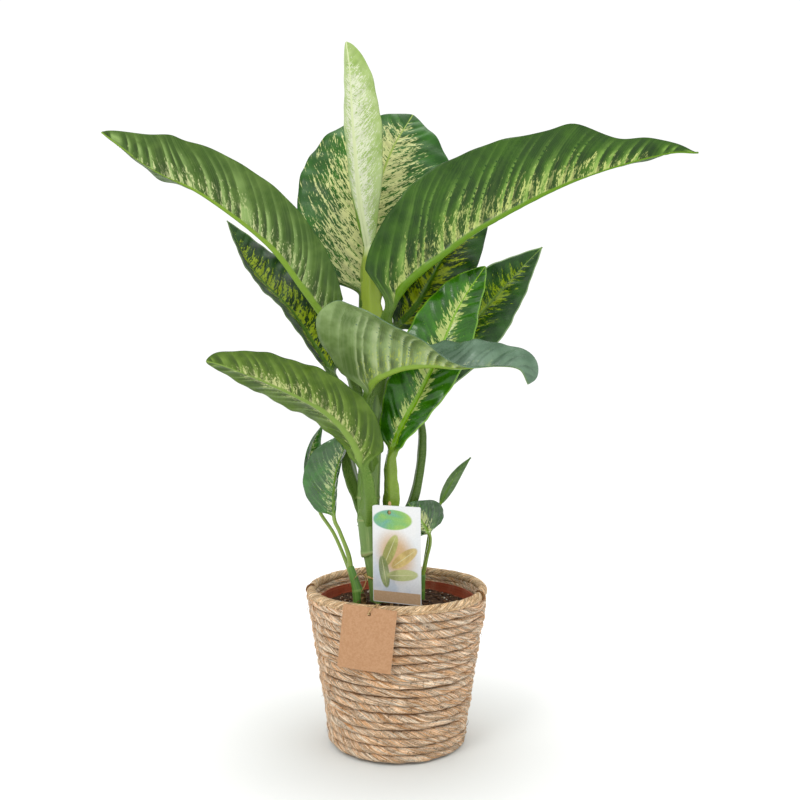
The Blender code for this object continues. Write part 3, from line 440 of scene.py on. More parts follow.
def leaf_finish(name, deep, fresh, patch, vein, midrib, stalk, density=0.5, zone=0.6, painted_folds=0.3,
                rim=None, rough=0.35, seed=0.0, blotch=1.0, coat=0.0, darker_out=0.0, clump=0.12,
                lively=1.22, sheathed=None, lean=0.0):
    """One face of a blade: deep and fresh greens, cream patches, vein lines, painted shade and highlights on
    the folds, midrib, and its stalk.

    density and zone say how thick and how far from the midrib the cream patches lie, and lean moves them
    towards one half. blotch is their size, clump gathers them along each side vein, and veins says
    how strongly the painted shade and the painted highlights of the folds show.
    """
    material, tree, shader = new_finish(name, rough, 0.30)
    blade, share, reach, line = written(tree, "blade")
    _, _, out, foot = written(tree, "metres")
    _, rib, edge, stem = written(tree, "parts")
    solid = add(tree, "TexCoord").outputs["Object"]
    far = sums(tree, "ABSOLUTE", reach)
    # painted shade: the deep green at half its value, for the shaded side of each fold
    painted_fold_shade = tuple(part * 0.50 for part in deep[:3]) + (1.0,)
    feather = stretched(tree, add(tree, "CombineXYZ", {0: foot, 1: out, 2: seed}).outputs[0],
                        (300.0 / blotch, 105.0 / blotch, 1.0))
    fine = stretched(tree, add(tree, "CombineXYZ", {0: foot, 1: out, 2: seed + 7.0}).outputs[0],
                     (900.0 / blotch, 400.0 / blotch, 1.0))
    broad = grain(tree, feather, 1.0, 4.0, 0.62, 0.25)
    broad = add(tree, "MapRange", {0: broad, 1: 0.34, 2: 0.66}).outputs[0]
    speckle = grain(tree, fine, 1.0, 2.0, 0.55)
    speckle = add(tree, "MapRange", {0: speckle, 1: 0.34, 2: 0.66}).outputs[0]
    after_vein = sums(tree, "FRACT", line)
    inner = fade(tree, far, 0.35, 0.95, 1.0, 0.10)
    beside = times(tree, sums(tree, "PINGPONG", line, 0.5), -2.0 * clump)
    nearness = fade(tree, far, 0.0, zone, density * 0.30, -0.42)
    nearness = plus(tree, nearness, times(tree, reach, lean))
    tipward = fade(tree, share, 0.78, 1.0, 0.0, -0.5)
    both = plus(tree, times(tree, broad, 0.62), times(tree, speckle, 0.38))
    level = plus(tree, plus(tree, nearness, tipward), plus(tree, beside, clump * 0.5))
    wanted = plus(tree, both, level)
    cream = fade(tree, wanted, 0.66, 0.72)
    haze = fade(tree, wanted, 0.50, 0.70, 0.0, 0.45)
    cloudy = grain(tree, solid, 38.0, 3.0, 0.6)
    ground = blend(tree, fade(tree, cloudy, 0.35, 0.68), deep, fresh)
    if darker_out:
        ground = blend(tree, fade(tree, far, 0.45, 1.0, 0.0, darker_out), ground, deep)
    # painted shade just past each side vein, and a painted highlight on the vein's crest
    shadow = times(tree, fade(tree, after_vein, 0.02, 0.20), fade(tree, after_vein, 0.22, 0.72, 1.0, 0.0))
    painted_crest_light = sums(tree, "MAXIMUM", fade(tree, after_vein, 0.60, 0.98),
                 fade(tree, after_vein, 0.0, 0.08, 1.0, 0.0))
    uneven = fade(tree, grain(tree, stretched(tree, blade, (7.0, 2.0, 0.0)), 1.0, 2.0), 0.36, 0.62, 0.35, 1.0)
    # where the painted fold light and shade show: fading towards the margin, uneven along the blade
    fold = times(tree, inner, uneven)
    soft_patch = blend(tree, 0.5, patch, fresh)
    colour = blend(tree, haze, ground, soft_patch)
    colour = blend(tree, cream, colour, patch)
    colour = blend(tree, times(tree, times(tree, shadow, fold), painted_folds), colour, painted_fold_shade)
    colour = blend(tree, times(tree, times(tree, painted_crest_light, fold), painted_folds), colour, vein)
    fine_vein = fade(tree, sums(tree, "PINGPONG", times(tree, line, 7.0), 0.5), 0.1, 0.4, 1.0, 0.0)
    colour = blend(tree, times(tree, fine_vein, 0.07), colour, vein)
    if sheathed:
        wrapped = plus(tree, share, times(tree, reach, 0.25))
        colour = blend(tree, fade(tree, wrapped, 0.08, 0.12, 1.0, 0.0), colour, sheathed)
    if rim:
        colour = blend(tree, fade(tree, edge, 0.0006, 0.0022, 0.85, 0.0), colour, rim)
    colour = blend(tree, fade(tree, rib, 0.15, 0.6), colour, midrib)
    stripes = grain(tree, stretched(tree, blade, (9.0, 7.0, 9.0)), 3.0, 3.0, 0.6)
    stalk_light = blend(tree, 0.45, stalk, paint(175, 190, 125))
    stalk_colour = blend(tree, fade(tree, stripes, 0.35, 0.7), stalk, stalk_light)
    colour = blend(tree, stem, colour, stalk_colour)
    colour = add(tree, "HueSaturation", {"Saturation": lively, "Color": colour}).outputs[0]
    tree.links.new(colour, shader.inputs["Base Color"])
    waxy = grain(tree, solid, 120.0, 3.0, 0.6)
    tree.links.new(fade(tree, waxy, 0.3, 0.75, rough - 0.07, rough + 0.10), shader.inputs["Roughness"])
    cells = grain(tree, solid, 900.0, 2.0, 0.5)
    fibres = plus(tree, times(tree, fine_vein, 0.30), times(tree, cells, 0.45))
    relief(tree, shader, fibres, 0.00022, 0.5)
    if coat:
        shader.inputs["Coat Weight"].default_value = coat
        shader.inputs["Coat Roughness"].default_value = 0.16
    return material


# %% [markdown]
# ## Leaves: the blade as geometry
# The blade could be a card with a bump map, but the eye catches the relief of a real leaf: side
# veins sunk in the upper face, quilted panels between them, a midrib standing out underneath and a
# margin that never runs quite straight. So each leaf is a closed skin: rings of points from the foot
# of the stalk to the tip, where the stalk's round section opens into the two halves of the blade.

# %% Leaf geometry
BLADE_EDGE = 0.0006
STALK_RINGS = 26
HALF_COLUMNS = 20


def across_direction(keys, share, forward):
    """The direction in which one half of the blade spreads at this share of the midrib."""
    keys = np.array(keys, float)
    spots = np.linspace(0.0, 1.0, len(keys))
    wanted = np.array([np.interp(share, spots, keys[:, axis]) for axis in range(3)])
    return unit(wanted - forward * wanted.dot(forward))


def blade_outline(share, base_power, widest, tip_power):
    """Half width, as a share of the widest: round at the base, drawn out to a point at the tip."""
    if share < widest:
        return math.sin(0.5 * math.pi * share / widest) ** base_power
    return max(0.0, math.cos(0.5 * math.pi * (share - widest) / (1.0 - widest))) ** tip_power


def smooth_step(value):
    """0 to 1 with an easy start and end."""
    value = min(1.0, max(0.0, value))
    return value * value * (3 - 2 * value)


def swept_back(spec, wide, share):
    """How far the right half's round lobe at the base sweeps back to the stalk, as a share of its width."""
    return spec.get("lobe", 0.0) * wide * smooth_step(share / 0.15) * (1 - smooth_step((share - 0.35) / 0.3))


def grow_leaf(name, spec, finishes, quilt=0.0006, ripple=0.0012, waves=5.0, seed=0, spacing=VEIN_STEP,
              wing=0.0, bumps=()):
    """A leaf with its stalk: finishes are the upper and the under face, quilt the height of the panels.

    wing widens the stalk's foot into a clasping sheath; bumps are (half, where, how long, how wide) swells
    of the margin.
    """
    dice = random.Random(seed)
    stalk_line = smooth_line(spec["stalk"] + spec["rib"][:2])
    stalk = along(stalk_line[: SPAN_STEPS * len(spec["stalk"]) + 1], np.linspace(0, 1, STALK_RINGS + 1)[:-1])
    rib_line = smooth_line(spec["rib"])
    blade_length = lengths(rib_line)[-1]
    stations = int(min(150, max(56, blade_length / 0.0019)))
    even = np.linspace(0.0, 1.0, stations)
    blade_shares = even - 0.5 * np.sin(math.tau * even) / math.tau
    shares = np.concatenate([np.zeros(STALK_RINGS), blade_shares])
    centres = np.vstack([stalk, along(rib_line, blade_shares)])
    runs = lengths(centres)
    runs = runs - runs[STALK_RINGS]
    forwards = [unit(forward) for forward in np.gradient(centres, runs, axis=0)]
    columns = np.linspace(0.0, 1.0, HALF_COLUMNS + 1) ** 1.25
    sides = np.concatenate([-columns[:0:-1], columns])
    shift = [dice.uniform(0, math.tau) for _ in range(6)]
    lefts = [across_direction(spec["left"], share, forward) for share, forward in zip(shares, forwards)]
    rights = [across_direction(spec["right"], share, forward) for share, forward in zip(shares, forwards)]
    sheet = np.zeros((len(centres), len(sides), 3))
    widths = np.zeros((len(centres), len(sides)))
    for index, (centre, forward, share) in enumerate(zip(centres, forwards, shares)):
        for column, side in enumerate(sides):
            half, wide = (lefts[index], 0) if side < 0 else (rights[index], 1)
            down = np.cross(half, forward) if side < 0 else np.cross(forward, half)
            outline = spec["outline"] if len(spec["outline"]) == 3 else spec["outline"][wide]
            width = max(spec["width"][wide] * blade_outline(share, *outline), 0.0009)
            for half_of, where, long, extra in bumps:
                width *= 1.0 + (extra * math.exp(-((share - where) / long) ** 2) if half_of == wide else 0.0)
            bend = spec["curl"][wide]
            turned_by = bend * abs(side)
            widths[index, column] = width
            back = swept_back(spec, wide, share) * width * abs(side) ** 1.5
            spread = math.sin(turned_by) * half + (1 - math.cos(turned_by)) * down
            sheet[index, column] = centre - back * forward + width / bend * spread
    normals = np.cross(np.gradient(sheet, axis=1), np.gradient(sheet, axis=0))
    normals = normals / np.linalg.norm(normals, axis=2, keepdims=True)
    points, blades, metres, parts = [], [], [], []
    for index, (centre, forward, share) in enumerate(zip(centres, forwards, shares)):
        sideways = unit(rights[index] - lefts[index])
        up = np.cross(sideways, forward)
        on_blade = index >= STALK_RINGS
        opened = min(1.0, share / 0.07) ** 2
        foot_flare = 1.0 + 0.35 * max(0.0, 1.0 - index / (STALK_RINGS * 0.5))
        round_radius = spec["stem"] * foot_flare * max(0.12, (1.0 - share) ** 1.3)
        upper, lower, row = [], [], []
        for column, side in enumerate(sides):
            reach, width, wide = abs(side), widths[index, column], 0 if side < 0 else 1
            out = width * reach
            foot = runs[index] - 0.60 * out - 0.45 * out * reach
            vein = foot / spacing + (0.5 if side < 0 else 0.0)
            vein += 0.22 * math.sin(vein * 1.9 + shift[4]) + 0.16 * math.sin(vein * 3.1 + shift[5])
            panel = abs(math.sin(math.pi * vein)) ** 0.7
            inside = min(1.0, out / 0.006) * (1.0 - reach**5) * min(1.0, (1.0 - share) / 0.06)
            lift = quilt * (panel - 0.6) * inside
            wave = math.sin(math.tau * waves * share + shift[wide])
            wave += 0.6 * math.sin(math.tau * waves * 2.3 * share + shift[2 + wide])
            lift += ripple * wave * reach**2.5 * min(1.0, width / 0.03)
            half_circle = math.sqrt(max(0.0, 1.0 - (out / (round_radius * 1.15)) ** 2))
            rib = round_radius * 0.95 * half_circle
            furrow = round_radius * 0.35 * half_circle**2
            turn = side * math.radians(80)
            sheath = wing * (1.0 - 0.7 * min(1.0, index / STALK_RINGS) ** 4) * reach**5
            sheath *= (1.0 + 0.12 * math.sin(index * 0.9 + shift[wide])
                       + 0.08 * math.sin(index * 1.9 + shift[4]))
            wider = round_radius * (math.sin(turn) + math.copysign(sheath, side))
            tube_up = centre + wider * sideways + round_radius * math.cos(turn) * up
            tube_down = centre + wider * sideways - round_radius * math.cos(turn) * up
            normal = normals[index, column]
            flat = sheet[index, column] + normal * lift
            upper.append(tube_up * (1 - opened) + opened * (flat + normal * (BLADE_EDGE * 0.5 - furrow)))
            lower.append(tube_down * (1 - opened) + opened * (flat - normal * (BLADE_EDGE * 0.5 + rib)))
            stem_share = 1.0 - min(1.0, max(0.0, (share - 0.02) / 0.05))
            row.append(((share if on_blade else runs[index] / blade_length, side, vein),
                        (runs[index], out * (-1.0 if side < 0 else 1.0), foot),
                        (half_circle, (1.0 - reach) * width if on_blade else 1.0, stem_share)))
        points += upper + lower[::-1]
        for carried, values in zip((blades, metres, parts), zip(*(row + row[::-1]))):
            carried.extend(values)
    around = 2 * len(sides)
    faces = ring_faces(len(centres), around)
    which = [0 if spot % around < len(sides) or spot % around == around - 1 else 1 for spot, *_ in faces]
    last = (len(centres) - 1) * around
    faces += [tuple(range(around))[::-1], tuple(range(last, last + around))]
    return make_piece(name, points, faces, finishes, ("leaf" + name[5:],),
                      {"blade": blades, "metres": metres, "parts": parts}, which + [0, 0])


# %% [markdown]
# ## Leaves: one by one
# The old leaves show dull undersides where they arch away and dark upper faces elsewhere. The newest
# one is still pale, and the young ones shine. Each gets its own colours, as read from such a plant.

# %% Old leaves
STALK_GREEN = paint(84, 120, 54)
STALK_PALE = paint(136, 166, 78)
STALK_DARK = paint(52, 88, 34)

deep_upper = leaf_finish("leaf_upper_face", paint(30, 62, 20), paint(54, 98, 36), paint(214, 222, 140),
                         paint(84, 124, 56), paint(120, 152, 76), STALK_GREEN, density=0.7, zone=0.9,
                         painted_folds=0.3, seed=2.0)
dull_under = leaf_finish("leaf_under_face", paint(62, 94, 42), paint(92, 124, 64), paint(184, 198, 128),
                         paint(126, 154, 92), paint(130, 158, 88), STALK_DARK, density=0.6, zone=0.7,
                         painted_folds=0.5, rough=0.45, seed=8.0)

# the undersides' folds are strongly painted: shade past each vein, highlight on its crest
under = leaf_finish("leaf_upper_left_under", paint(66, 94, 40), paint(98, 124, 66), paint(224, 230, 178),
                    paint(160, 186, 124), paint(138, 168, 84), STALK_GREEN, density=0.50, zone=0.85,
                    painted_folds=0.95, rough=0.42, seed=1.0, blotch=0.9, clump=0.24)
grow_leaf("grown_upper_left", LEAVES["leaf_upper_left"], [deep_upper, under],
          0.0019, 0.0016, 4.0, 11, 0.0145, 1.2, [(0, 0.82, 0.06, 0.18), (1, 0.82, 0.06, 0.18)])

under = leaf_finish("leaf_upper_right_under", paint(42, 74, 26), paint(76, 112, 48), paint(218, 226, 156),
                    paint(146, 180, 104), paint(116, 152, 66), STALK_GREEN, density=0.75, zone=0.85,
                    painted_folds=0.95, rough=0.38, seed=3.0, blotch=1.05, darker_out=0.4, clump=0.24)
grow_leaf("grown_upper_right", LEAVES["leaf_upper_right"], [deep_upper, under],
          0.0021, 0.0018, 5.0, 12, 0.0165, 1.2,
          [(0, 0.69, 0.045, 0.12), (1, 0.69, 0.045, 0.12), (0, 0.80, 0.045, -0.18), (1, 0.80, 0.045, -0.18)])

upper = leaf_finish("leaf_back_upper", paint(38, 84, 24), paint(62, 118, 42), paint(240, 242, 182),
                    paint(90, 142, 58), paint(176, 198, 116), STALK_GREEN, density=1.02, zone=1.30,
                    painted_folds=0.30, rough=0.38, seed=5.0, blotch=1.25, darker_out=0.3, clump=0.05, lean=-0.19)
grow_leaf("grown_back", LEAVES["leaf_back"], [upper, dull_under], 0.0012, 0.0022, 4.0, 13)

upper = leaf_finish("leaf_left_back_upper", paint(22, 48, 16), paint(40, 78, 26), paint(170, 190, 84),
                    paint(58, 98, 40), paint(90, 124, 54), STALK_DARK, density=0.80, zone=1.10,
                    painted_folds=0.30, rough=0.36, seed=7.0, rim=paint(120, 142, 96), blotch=1.3)
grow_leaf("grown_left_back", LEAVES["leaf_left_back"], [upper, dull_under],
          0.0014, 0.0012, 5.0, 14, wing=1.2)

upper = leaf_finish("leaf_right_back_upper", paint(24, 48, 18), paint(42, 78, 28), paint(172, 188, 84),
                    paint(70, 108, 52), paint(92, 126, 56), STALK_DARK, density=0.80, zone=1.20,
                    painted_folds=0.35, rough=0.30, seed=9.0, blotch=1.5)
grow_leaf("grown_right_back", LEAVES["leaf_right_back"], [upper, dull_under],
          0.0014, 0.0014, 4.0, 15, wing=1.2)

upper = leaf_finish("leaf_right_upper", paint(34, 66, 28), paint(58, 96, 44), paint(162, 184, 84),
                    paint(82, 116, 62), paint(118, 148, 76), STALK_DARK, density=0.70, zone=1.0,
                    painted_folds=0.30, rough=0.30, seed=11.0, rim=paint(160, 184, 138), blotch=1.4)
grow_leaf("grown_right", LEAVES["leaf_right"], [upper, dull_under],
          0.0012, 0.0014, 5.0, 16, wing=0.5)

under = leaf_finish("leaf_front_under", paint(112, 136, 84), paint(158, 180, 128), paint(196, 210, 118),
                    paint(206, 220, 176), paint(150, 178, 96), STALK_GREEN, density=0.30, zone=0.9,
                    painted_folds=0.95, rough=0.36, seed=13.0, blotch=0.7, clump=0.1)
upper = leaf_finish("leaf_front_upper", paint(90, 118, 94), paint(120, 148, 124), paint(160, 180, 134),
                    paint(122, 150, 122), paint(140, 168, 118), STALK_GREEN, density=0.2, zone=0.5,
                    painted_folds=0.45, rough=0.28, seed=14.0, lively=1.1)
grow_leaf("grown_front", LEAVES["leaf_front"], [upper, under],
          0.0022, 0.0014, 4.0, 17, 0.0125, 0.8)

under = leaf_finish("leaf_lower_left_under", paint(74, 100, 40), paint(106, 132, 64), paint(222, 226, 168),
                    paint(146, 172, 98), paint(142, 168, 96), STALK_GREEN, density=0.60, zone=0.80,
                    painted_folds=0.75, rough=0.40, seed=15.0, blotch=0.8, clump=0.16)
grow_leaf("grown_lower_left", LEAVES["leaf_lower_left"], [deep_upper, under],
          0.0017, 0.0012, 4.0, 18, 0.0135, 1.3)

# %% [markdown]
# ## Newest and young leaves
# The newest leaf has just unrolled: almost all cream, upright, with the green sheath that it came out of
# still at its foot. The young one lower down is smaller, brighter green and a little shiny. Both come
# from the same helpers as the old leaves, since only colours, shine and the stalk's wing differ.

# %% Newest and young leaves
upper = leaf_finish("leaf_newest_upper", paint(168, 194, 122), paint(204, 222, 166), paint(240, 244, 220),
                    paint(214, 228, 180), paint(226, 236, 192), paint(178, 200, 104), density=1.0, zone=1.6,
                    painted_folds=0.20, rough=0.42, seed=17.0, blotch=0.6, clump=0.05, sheathed=paint(122, 156, 76))
under = leaf_finish("leaf_newest_under", paint(160, 186, 124), paint(192, 210, 158), paint(232, 238, 208),
                    paint(210, 222, 180), paint(206, 220, 168), paint(172, 194, 104), density=0.7, zone=1.2,
                    painted_folds=0.25, rough=0.45, seed=18.0, blotch=0.6, sheathed=paint(122, 156, 76))
grow_leaf("grown_newest", LEAVES["leaf_newest"], [upper, under],
          0.0005, 0.0008, 4.0, 19, wing=1.7)

upper = leaf_finish("leaf_young_upper", paint(34, 84, 12), paint(60, 124, 24), paint(216, 228, 156),
                    paint(120, 178, 84), paint(150, 192, 88), STALK_PALE, density=1.05, zone=0.72,
                    painted_folds=0.30, rough=0.24, seed=19.0, blotch=1.6, rim=paint(150, 192, 100), coat=0.3)
under = leaf_finish("leaf_young_under", paint(92, 140, 52), paint(128, 170, 78), paint(196, 214, 136),
                    paint(156, 188, 104), paint(166, 196, 98), STALK_PALE, density=0.4, zone=0.5,
                    painted_folds=0.5, rough=0.35, seed=20.0)
grow_leaf("grown_young", LEAVES["leaf_young"], [upper, under],
          0.0020, 0.0020, 5.0, 20, 0.0145, 1.5)

# %% [markdown]
# ## Leaves of the side shoots
# Young shoot leaves are small, puckered between close veins and glossy. They could be copies of one
# leaf, but a copy is easy to spot, so each grows along its own line with its own seed in a loop.

# %% Leaves of the side shoots
# shoot leaves: real gloss from low roughness and a coat, plus a painted sheen on the fold crests in their
# pale vein colours
gloss_and_painted_sheen = dict(rough=0.12, painted_folds=0.40, coat=1.0)
upper = leaf_finish("leaf_shoot_upper", paint(34, 82, 26), paint(62, 122, 46), paint(216, 228, 170),
                    paint(160, 192, 140), paint(128, 168, 80), STALK_PALE, density=0.55, zone=0.9, seed=21.0,
                    blotch=1.0, **gloss_and_painted_sheen)
feathered = leaf_finish("leaf_shoot_right_upper", paint(28, 70, 22), paint(50, 104, 38), paint(220, 230, 166),
                        paint(150, 186, 126), paint(150, 186, 98), STALK_PALE, density=1.10, zone=0.75,
                        seed=25.0, blotch=1.0, **gloss_and_painted_sheen)
under = leaf_finish("leaf_shoot_under", paint(70, 112, 44), paint(102, 144, 66), paint(184, 204, 124),
                    paint(134, 170, 92), paint(144, 174, 84), STALK_PALE, density=0.3, zone=0.5, seed=22.0)
plain = leaf_finish("leaf_shoot_tip_face", paint(96, 122, 82), paint(126, 150, 108), paint(150, 170, 120),
                    paint(150, 172, 124), paint(104, 138, 70), STALK_PALE, density=0.0, zone=0.5, painted_folds=0.3,
                    rough=0.32, seed=23.0)
for shoot_leaf, face, puff, number in (("left", upper, 0.0030, 21), ("behind", upper, 0.0012, 22),
                                       ("right", feathered, 0.0020, 23), ("tip", plain, 0.0004, 24)):
    grow_leaf("grown_shoot_" + shoot_leaf, LEAVES["leaf_shoot_" + shoot_leaf], [face, under],
              puff, 0.0008, 3.0, number, 0.0085)

# %% [markdown]
# ## Basket: one long rope of seagrass
# The basket is a single two-ply rope of twisted seagrass, coiled from the rim down the wall and on
# across the base. It could be a lathed wall with a rope texture, but the ragged outline, the deep
# grooves of the twist and the dark gaps between rows are what make it read as grass. So the rope is
# swept as real geometry along its coil: a tube whose section has a groove for each ply, turning as
# it goes, with a little wobble in height, thickness and twist.

# %% Basket sizes, read from the frame
rim_low, rim_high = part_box("basket_rim")
_, wall_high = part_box("basket_body")
RIM_ROLL = (rim_high.z - rim_low.z) / 2
RIM_RADIUS = rim_high.x - RIM_ROLL
RIM_Z = (rim_high.z + rim_low.z) / 2
WALL_TOP = wall_high.z
WALL_THICKNESS = 0.0078
WALL_PROFILE = [(0.0680, 0.0), (0.0705, 0.002), (0.0728, 0.010), (0.0757, 0.035), (0.0830, 0.085),
                (0.0919, 0.136), (0.0945, WALL_TOP)]
ROPE_ROWS = 18
ROW_STEP = WALL_TOP / ROPE_ROWS
ROPE_RADIUS = 0.00432
PLY_TURN = 0.058
print(f"rim radius {RIM_RADIUS:.4f}, rope rows {ROW_STEP * 1000:.1f} mm apart")


def wall_radius(height):
    """The basket's outer radius at this height."""
    radii, heights = zip(*WALL_PROFILE)
    return np.interp(height, heights, radii)


def slow_wave(values, step, seed, size):
    """Smooth random values along a line, from -size to size, that change over about `step`."""
    dice = np.random.default_rng(seed)
    knots = dice.uniform(-1, 1, int(values.max() / step) + 4)
    spot = values / step
    low = np.floor(spot).astype(int)
    part = spot - low
    part = part * part * (3 - 2 * part)
    return size * (knots[low] * (1 - part) + knots[low + 1] * part)


# %% [markdown]
# ## Basket: the look of dry grass
# Dry seagrass is pale straw with brown, rusty and nearly white blades, and it creases as it is twisted.
# Noise laid over the world would run straight through the twist. So the noise is stretched along the
# strand's own coordinates, which the mesh carries. Painted shade darkens the grooves where two plies
# meet and the gaps between rows, and the crinkles get painted light and shade over their own mottle.

# %% Grass finish
def grass_finish(name, pale, straw, tan, brown, speck_and_shade_colour, rust, bump_depth=0.00035):
    """Dry grass: blades of several shades along the strand, fine fibres, dark specks, painted light and shade
    on crinkles and cracks, and painted shade in the grooves and between rows.
    """
    material, tree, shader = new_finish(name, 0.72, 0.25)
    _, length, angle, groove = written(tree, "strand")
    _, number, _, row_gap_shade = written(tree, "ply")
    lay = add(tree, "CombineXYZ", {0: length, 1: angle, 2: number}).outputs[0]
    blades = grain(tree, stretched(tree, lay, (30.0, 2.2, 3.1)), 1.0, 4.0, 0.65, 0.6)
    shade = colour_steps(tree, blades, [(0.30, brown), (0.41, tan), (0.50, straw), (0.58, pale),
                                        (0.70, straw)])
    rusty = grain(tree, stretched(tree, lay, (17.0, 0.8, 1.7), (5.0, 2.0, 1.0)), 1.0, 2.0)
    shade = blend(tree, fade(tree, rusty, 0.58, 0.74, 0.0, 0.7), shade, rust)
    fibres = grain(tree, stretched(tree, lay, (95.0, 9.0, 5.0)), 1.0, 4.0, 0.65)
    place = add(tree, "TexCoord").outputs["Object"]
    crinkle_relief_and_shading = grain(tree, stretched(tree, lay, (150.0, 6.0, 9.0), (2.0, 5.0, 3.0)), 1.0, 5.0, 0.75, 0.9)
    pits = grain(tree, place, 330.0, 5.0, 0.75, 0.6)
    shade = blend(tree, fade(tree, fibres, 0.52, 0.74, 0.0, 0.55), shade, brown)
    shade = blend(tree, fade(tree, fibres, 0.46, 0.28, 0.0, 0.40), shade, pale)
    # crinkles: brown where the relief sinks and pale where it rises, partly the grass's own mottle, partly
    # painted shade and highlight
    shade = blend(tree, fade(tree, crinkle_relief_and_shading, 0.52, 0.64, 0.0, 0.75), shade, brown)
    shade = blend(tree, fade(tree, crinkle_relief_and_shading, 0.46, 0.34, 0.0, 0.85), shade, pale)
    shade = blend(tree, fade(tree, pits, 0.56, 0.64, 0.0, 0.70), shade, speck_and_shade_colour)
    shade = blend(tree, fade(tree, pits, 0.44, 0.34, 0.0, 0.50), shade, pale)
    # dark cracks, sunk in the relief too: partly their own colour, partly painted shade in the creases
    split = grain(tree, stretched(tree, lay, (40.0, 5.0, 7.0), (3.0, 3.0, 0.0)), 1.0, 2.0, 0.5, 0.6)
    cracks_and_crease_shade = fade(tree, sums(tree, "ABSOLUTE", sums(tree, "SUBTRACT", split, 0.5)), 0.0, 0.014, 1.0, 0.0)
    shade = blend(tree, times(tree, cracks_and_crease_shade, 0.50), shade, speck_and_shade_colour)
    broken = grain(tree, stretched(tree, lay, (60.0, 3.0, 4.0), (1.0, 8.0, 2.0)), 1.0, 2.0)
    broken = fade(tree, broken, 0.36, 0.60, 0.25, 1.0)
    # painted shade: the grooves between plies and the gaps between rows are darkened, broken up at random
    shade = blend(tree, times(tree, fade(tree, groove, 0.55, 0.98, 0.0, 0.75), broken), shade, speck_and_shade_colour)
    shade = blend(tree, times(tree, fade(tree, row_gap_shade, 0.72, 1.0, 0.0, 0.95), broken), shade, speck_and_shade_colour)
    weathered = grain(tree, stretched(tree, lay, (52.0, 2.6, 2.3), (9.0, 1.0, 4.0)), 1.0, 4.0, 0.7, 0.5)
    tone = fade(tree, weathered, 0.40, 0.60, 0.74, 1.46)
    shade = add(tree, "HueSaturation", {"Saturation": 1.08, "Value": tone, "Color": shade}).outputs[0]
    tree.links.new(shade, shader.inputs["Base Color"])
    tree.links.new(fade(tree, fibres, 0.3, 0.7, 0.58, 0.85), shader.inputs["Roughness"])
    height_of = sums(tree, "SUBTRACT", plus(tree, fibres, times(tree, crinkle_relief_and_shading, -1.2)),
                     times(tree, cracks_and_crease_shade, 0.5))
    relief(tree, shader, height_of, bump_depth, 0.9)
    return material


rope_grass = grass_finish("rope_grass", paint(255, 242, 220), paint(252, 214, 176), paint(234, 184, 138),
                          paint(164, 118, 74), paint(80, 50, 26), paint(224, 154, 90), 0.0009)
wrap_grass = grass_finish("wrap_grass", paint(250, 226, 192), paint(232, 198, 156), paint(206, 168, 124),
                          paint(156, 116, 78), paint(70, 48, 28), paint(208, 152, 100), 0.0005)


# %% [markdown]
# ## Basket: the coil
# One centre line runs down the wall and on across the base. A section is swept along it: 30 points
# round, with a valley for each ply, turning with the twist. Slow random waves in height, thickness and
# twist keep the rows from looking machined. A thin band behind the rows closes the gaps, and it is
# painted all in shade.

# %% The coiled rope
def coil_line():
    """The rope's centre line and its outward directions: down the wall, then inwards across the base."""
    wall_turns = ROPE_ROWS - 1
    base_turns = 7.4
    turns = np.arange(-1.0, wall_turns + base_turns, 0.0024 / (math.tau * 0.078))
    height = np.maximum(WALL_TOP - ROW_STEP * (0.5 + np.maximum(turns, -0.35)), ROW_STEP / 2 + 0.0002)
    on_base = np.maximum(0.0, turns - wall_turns)
    radius = wall_radius(height) - WALL_THICKNESS / 2 - on_base * (ROPE_RADIUS * 2 - 0.0002)
    angle = turns * math.tau
    keep = radius > ROPE_RADIUS * 1.3
    return turns[keep], radius[keep], height[keep], angle[keep], on_base[keep]


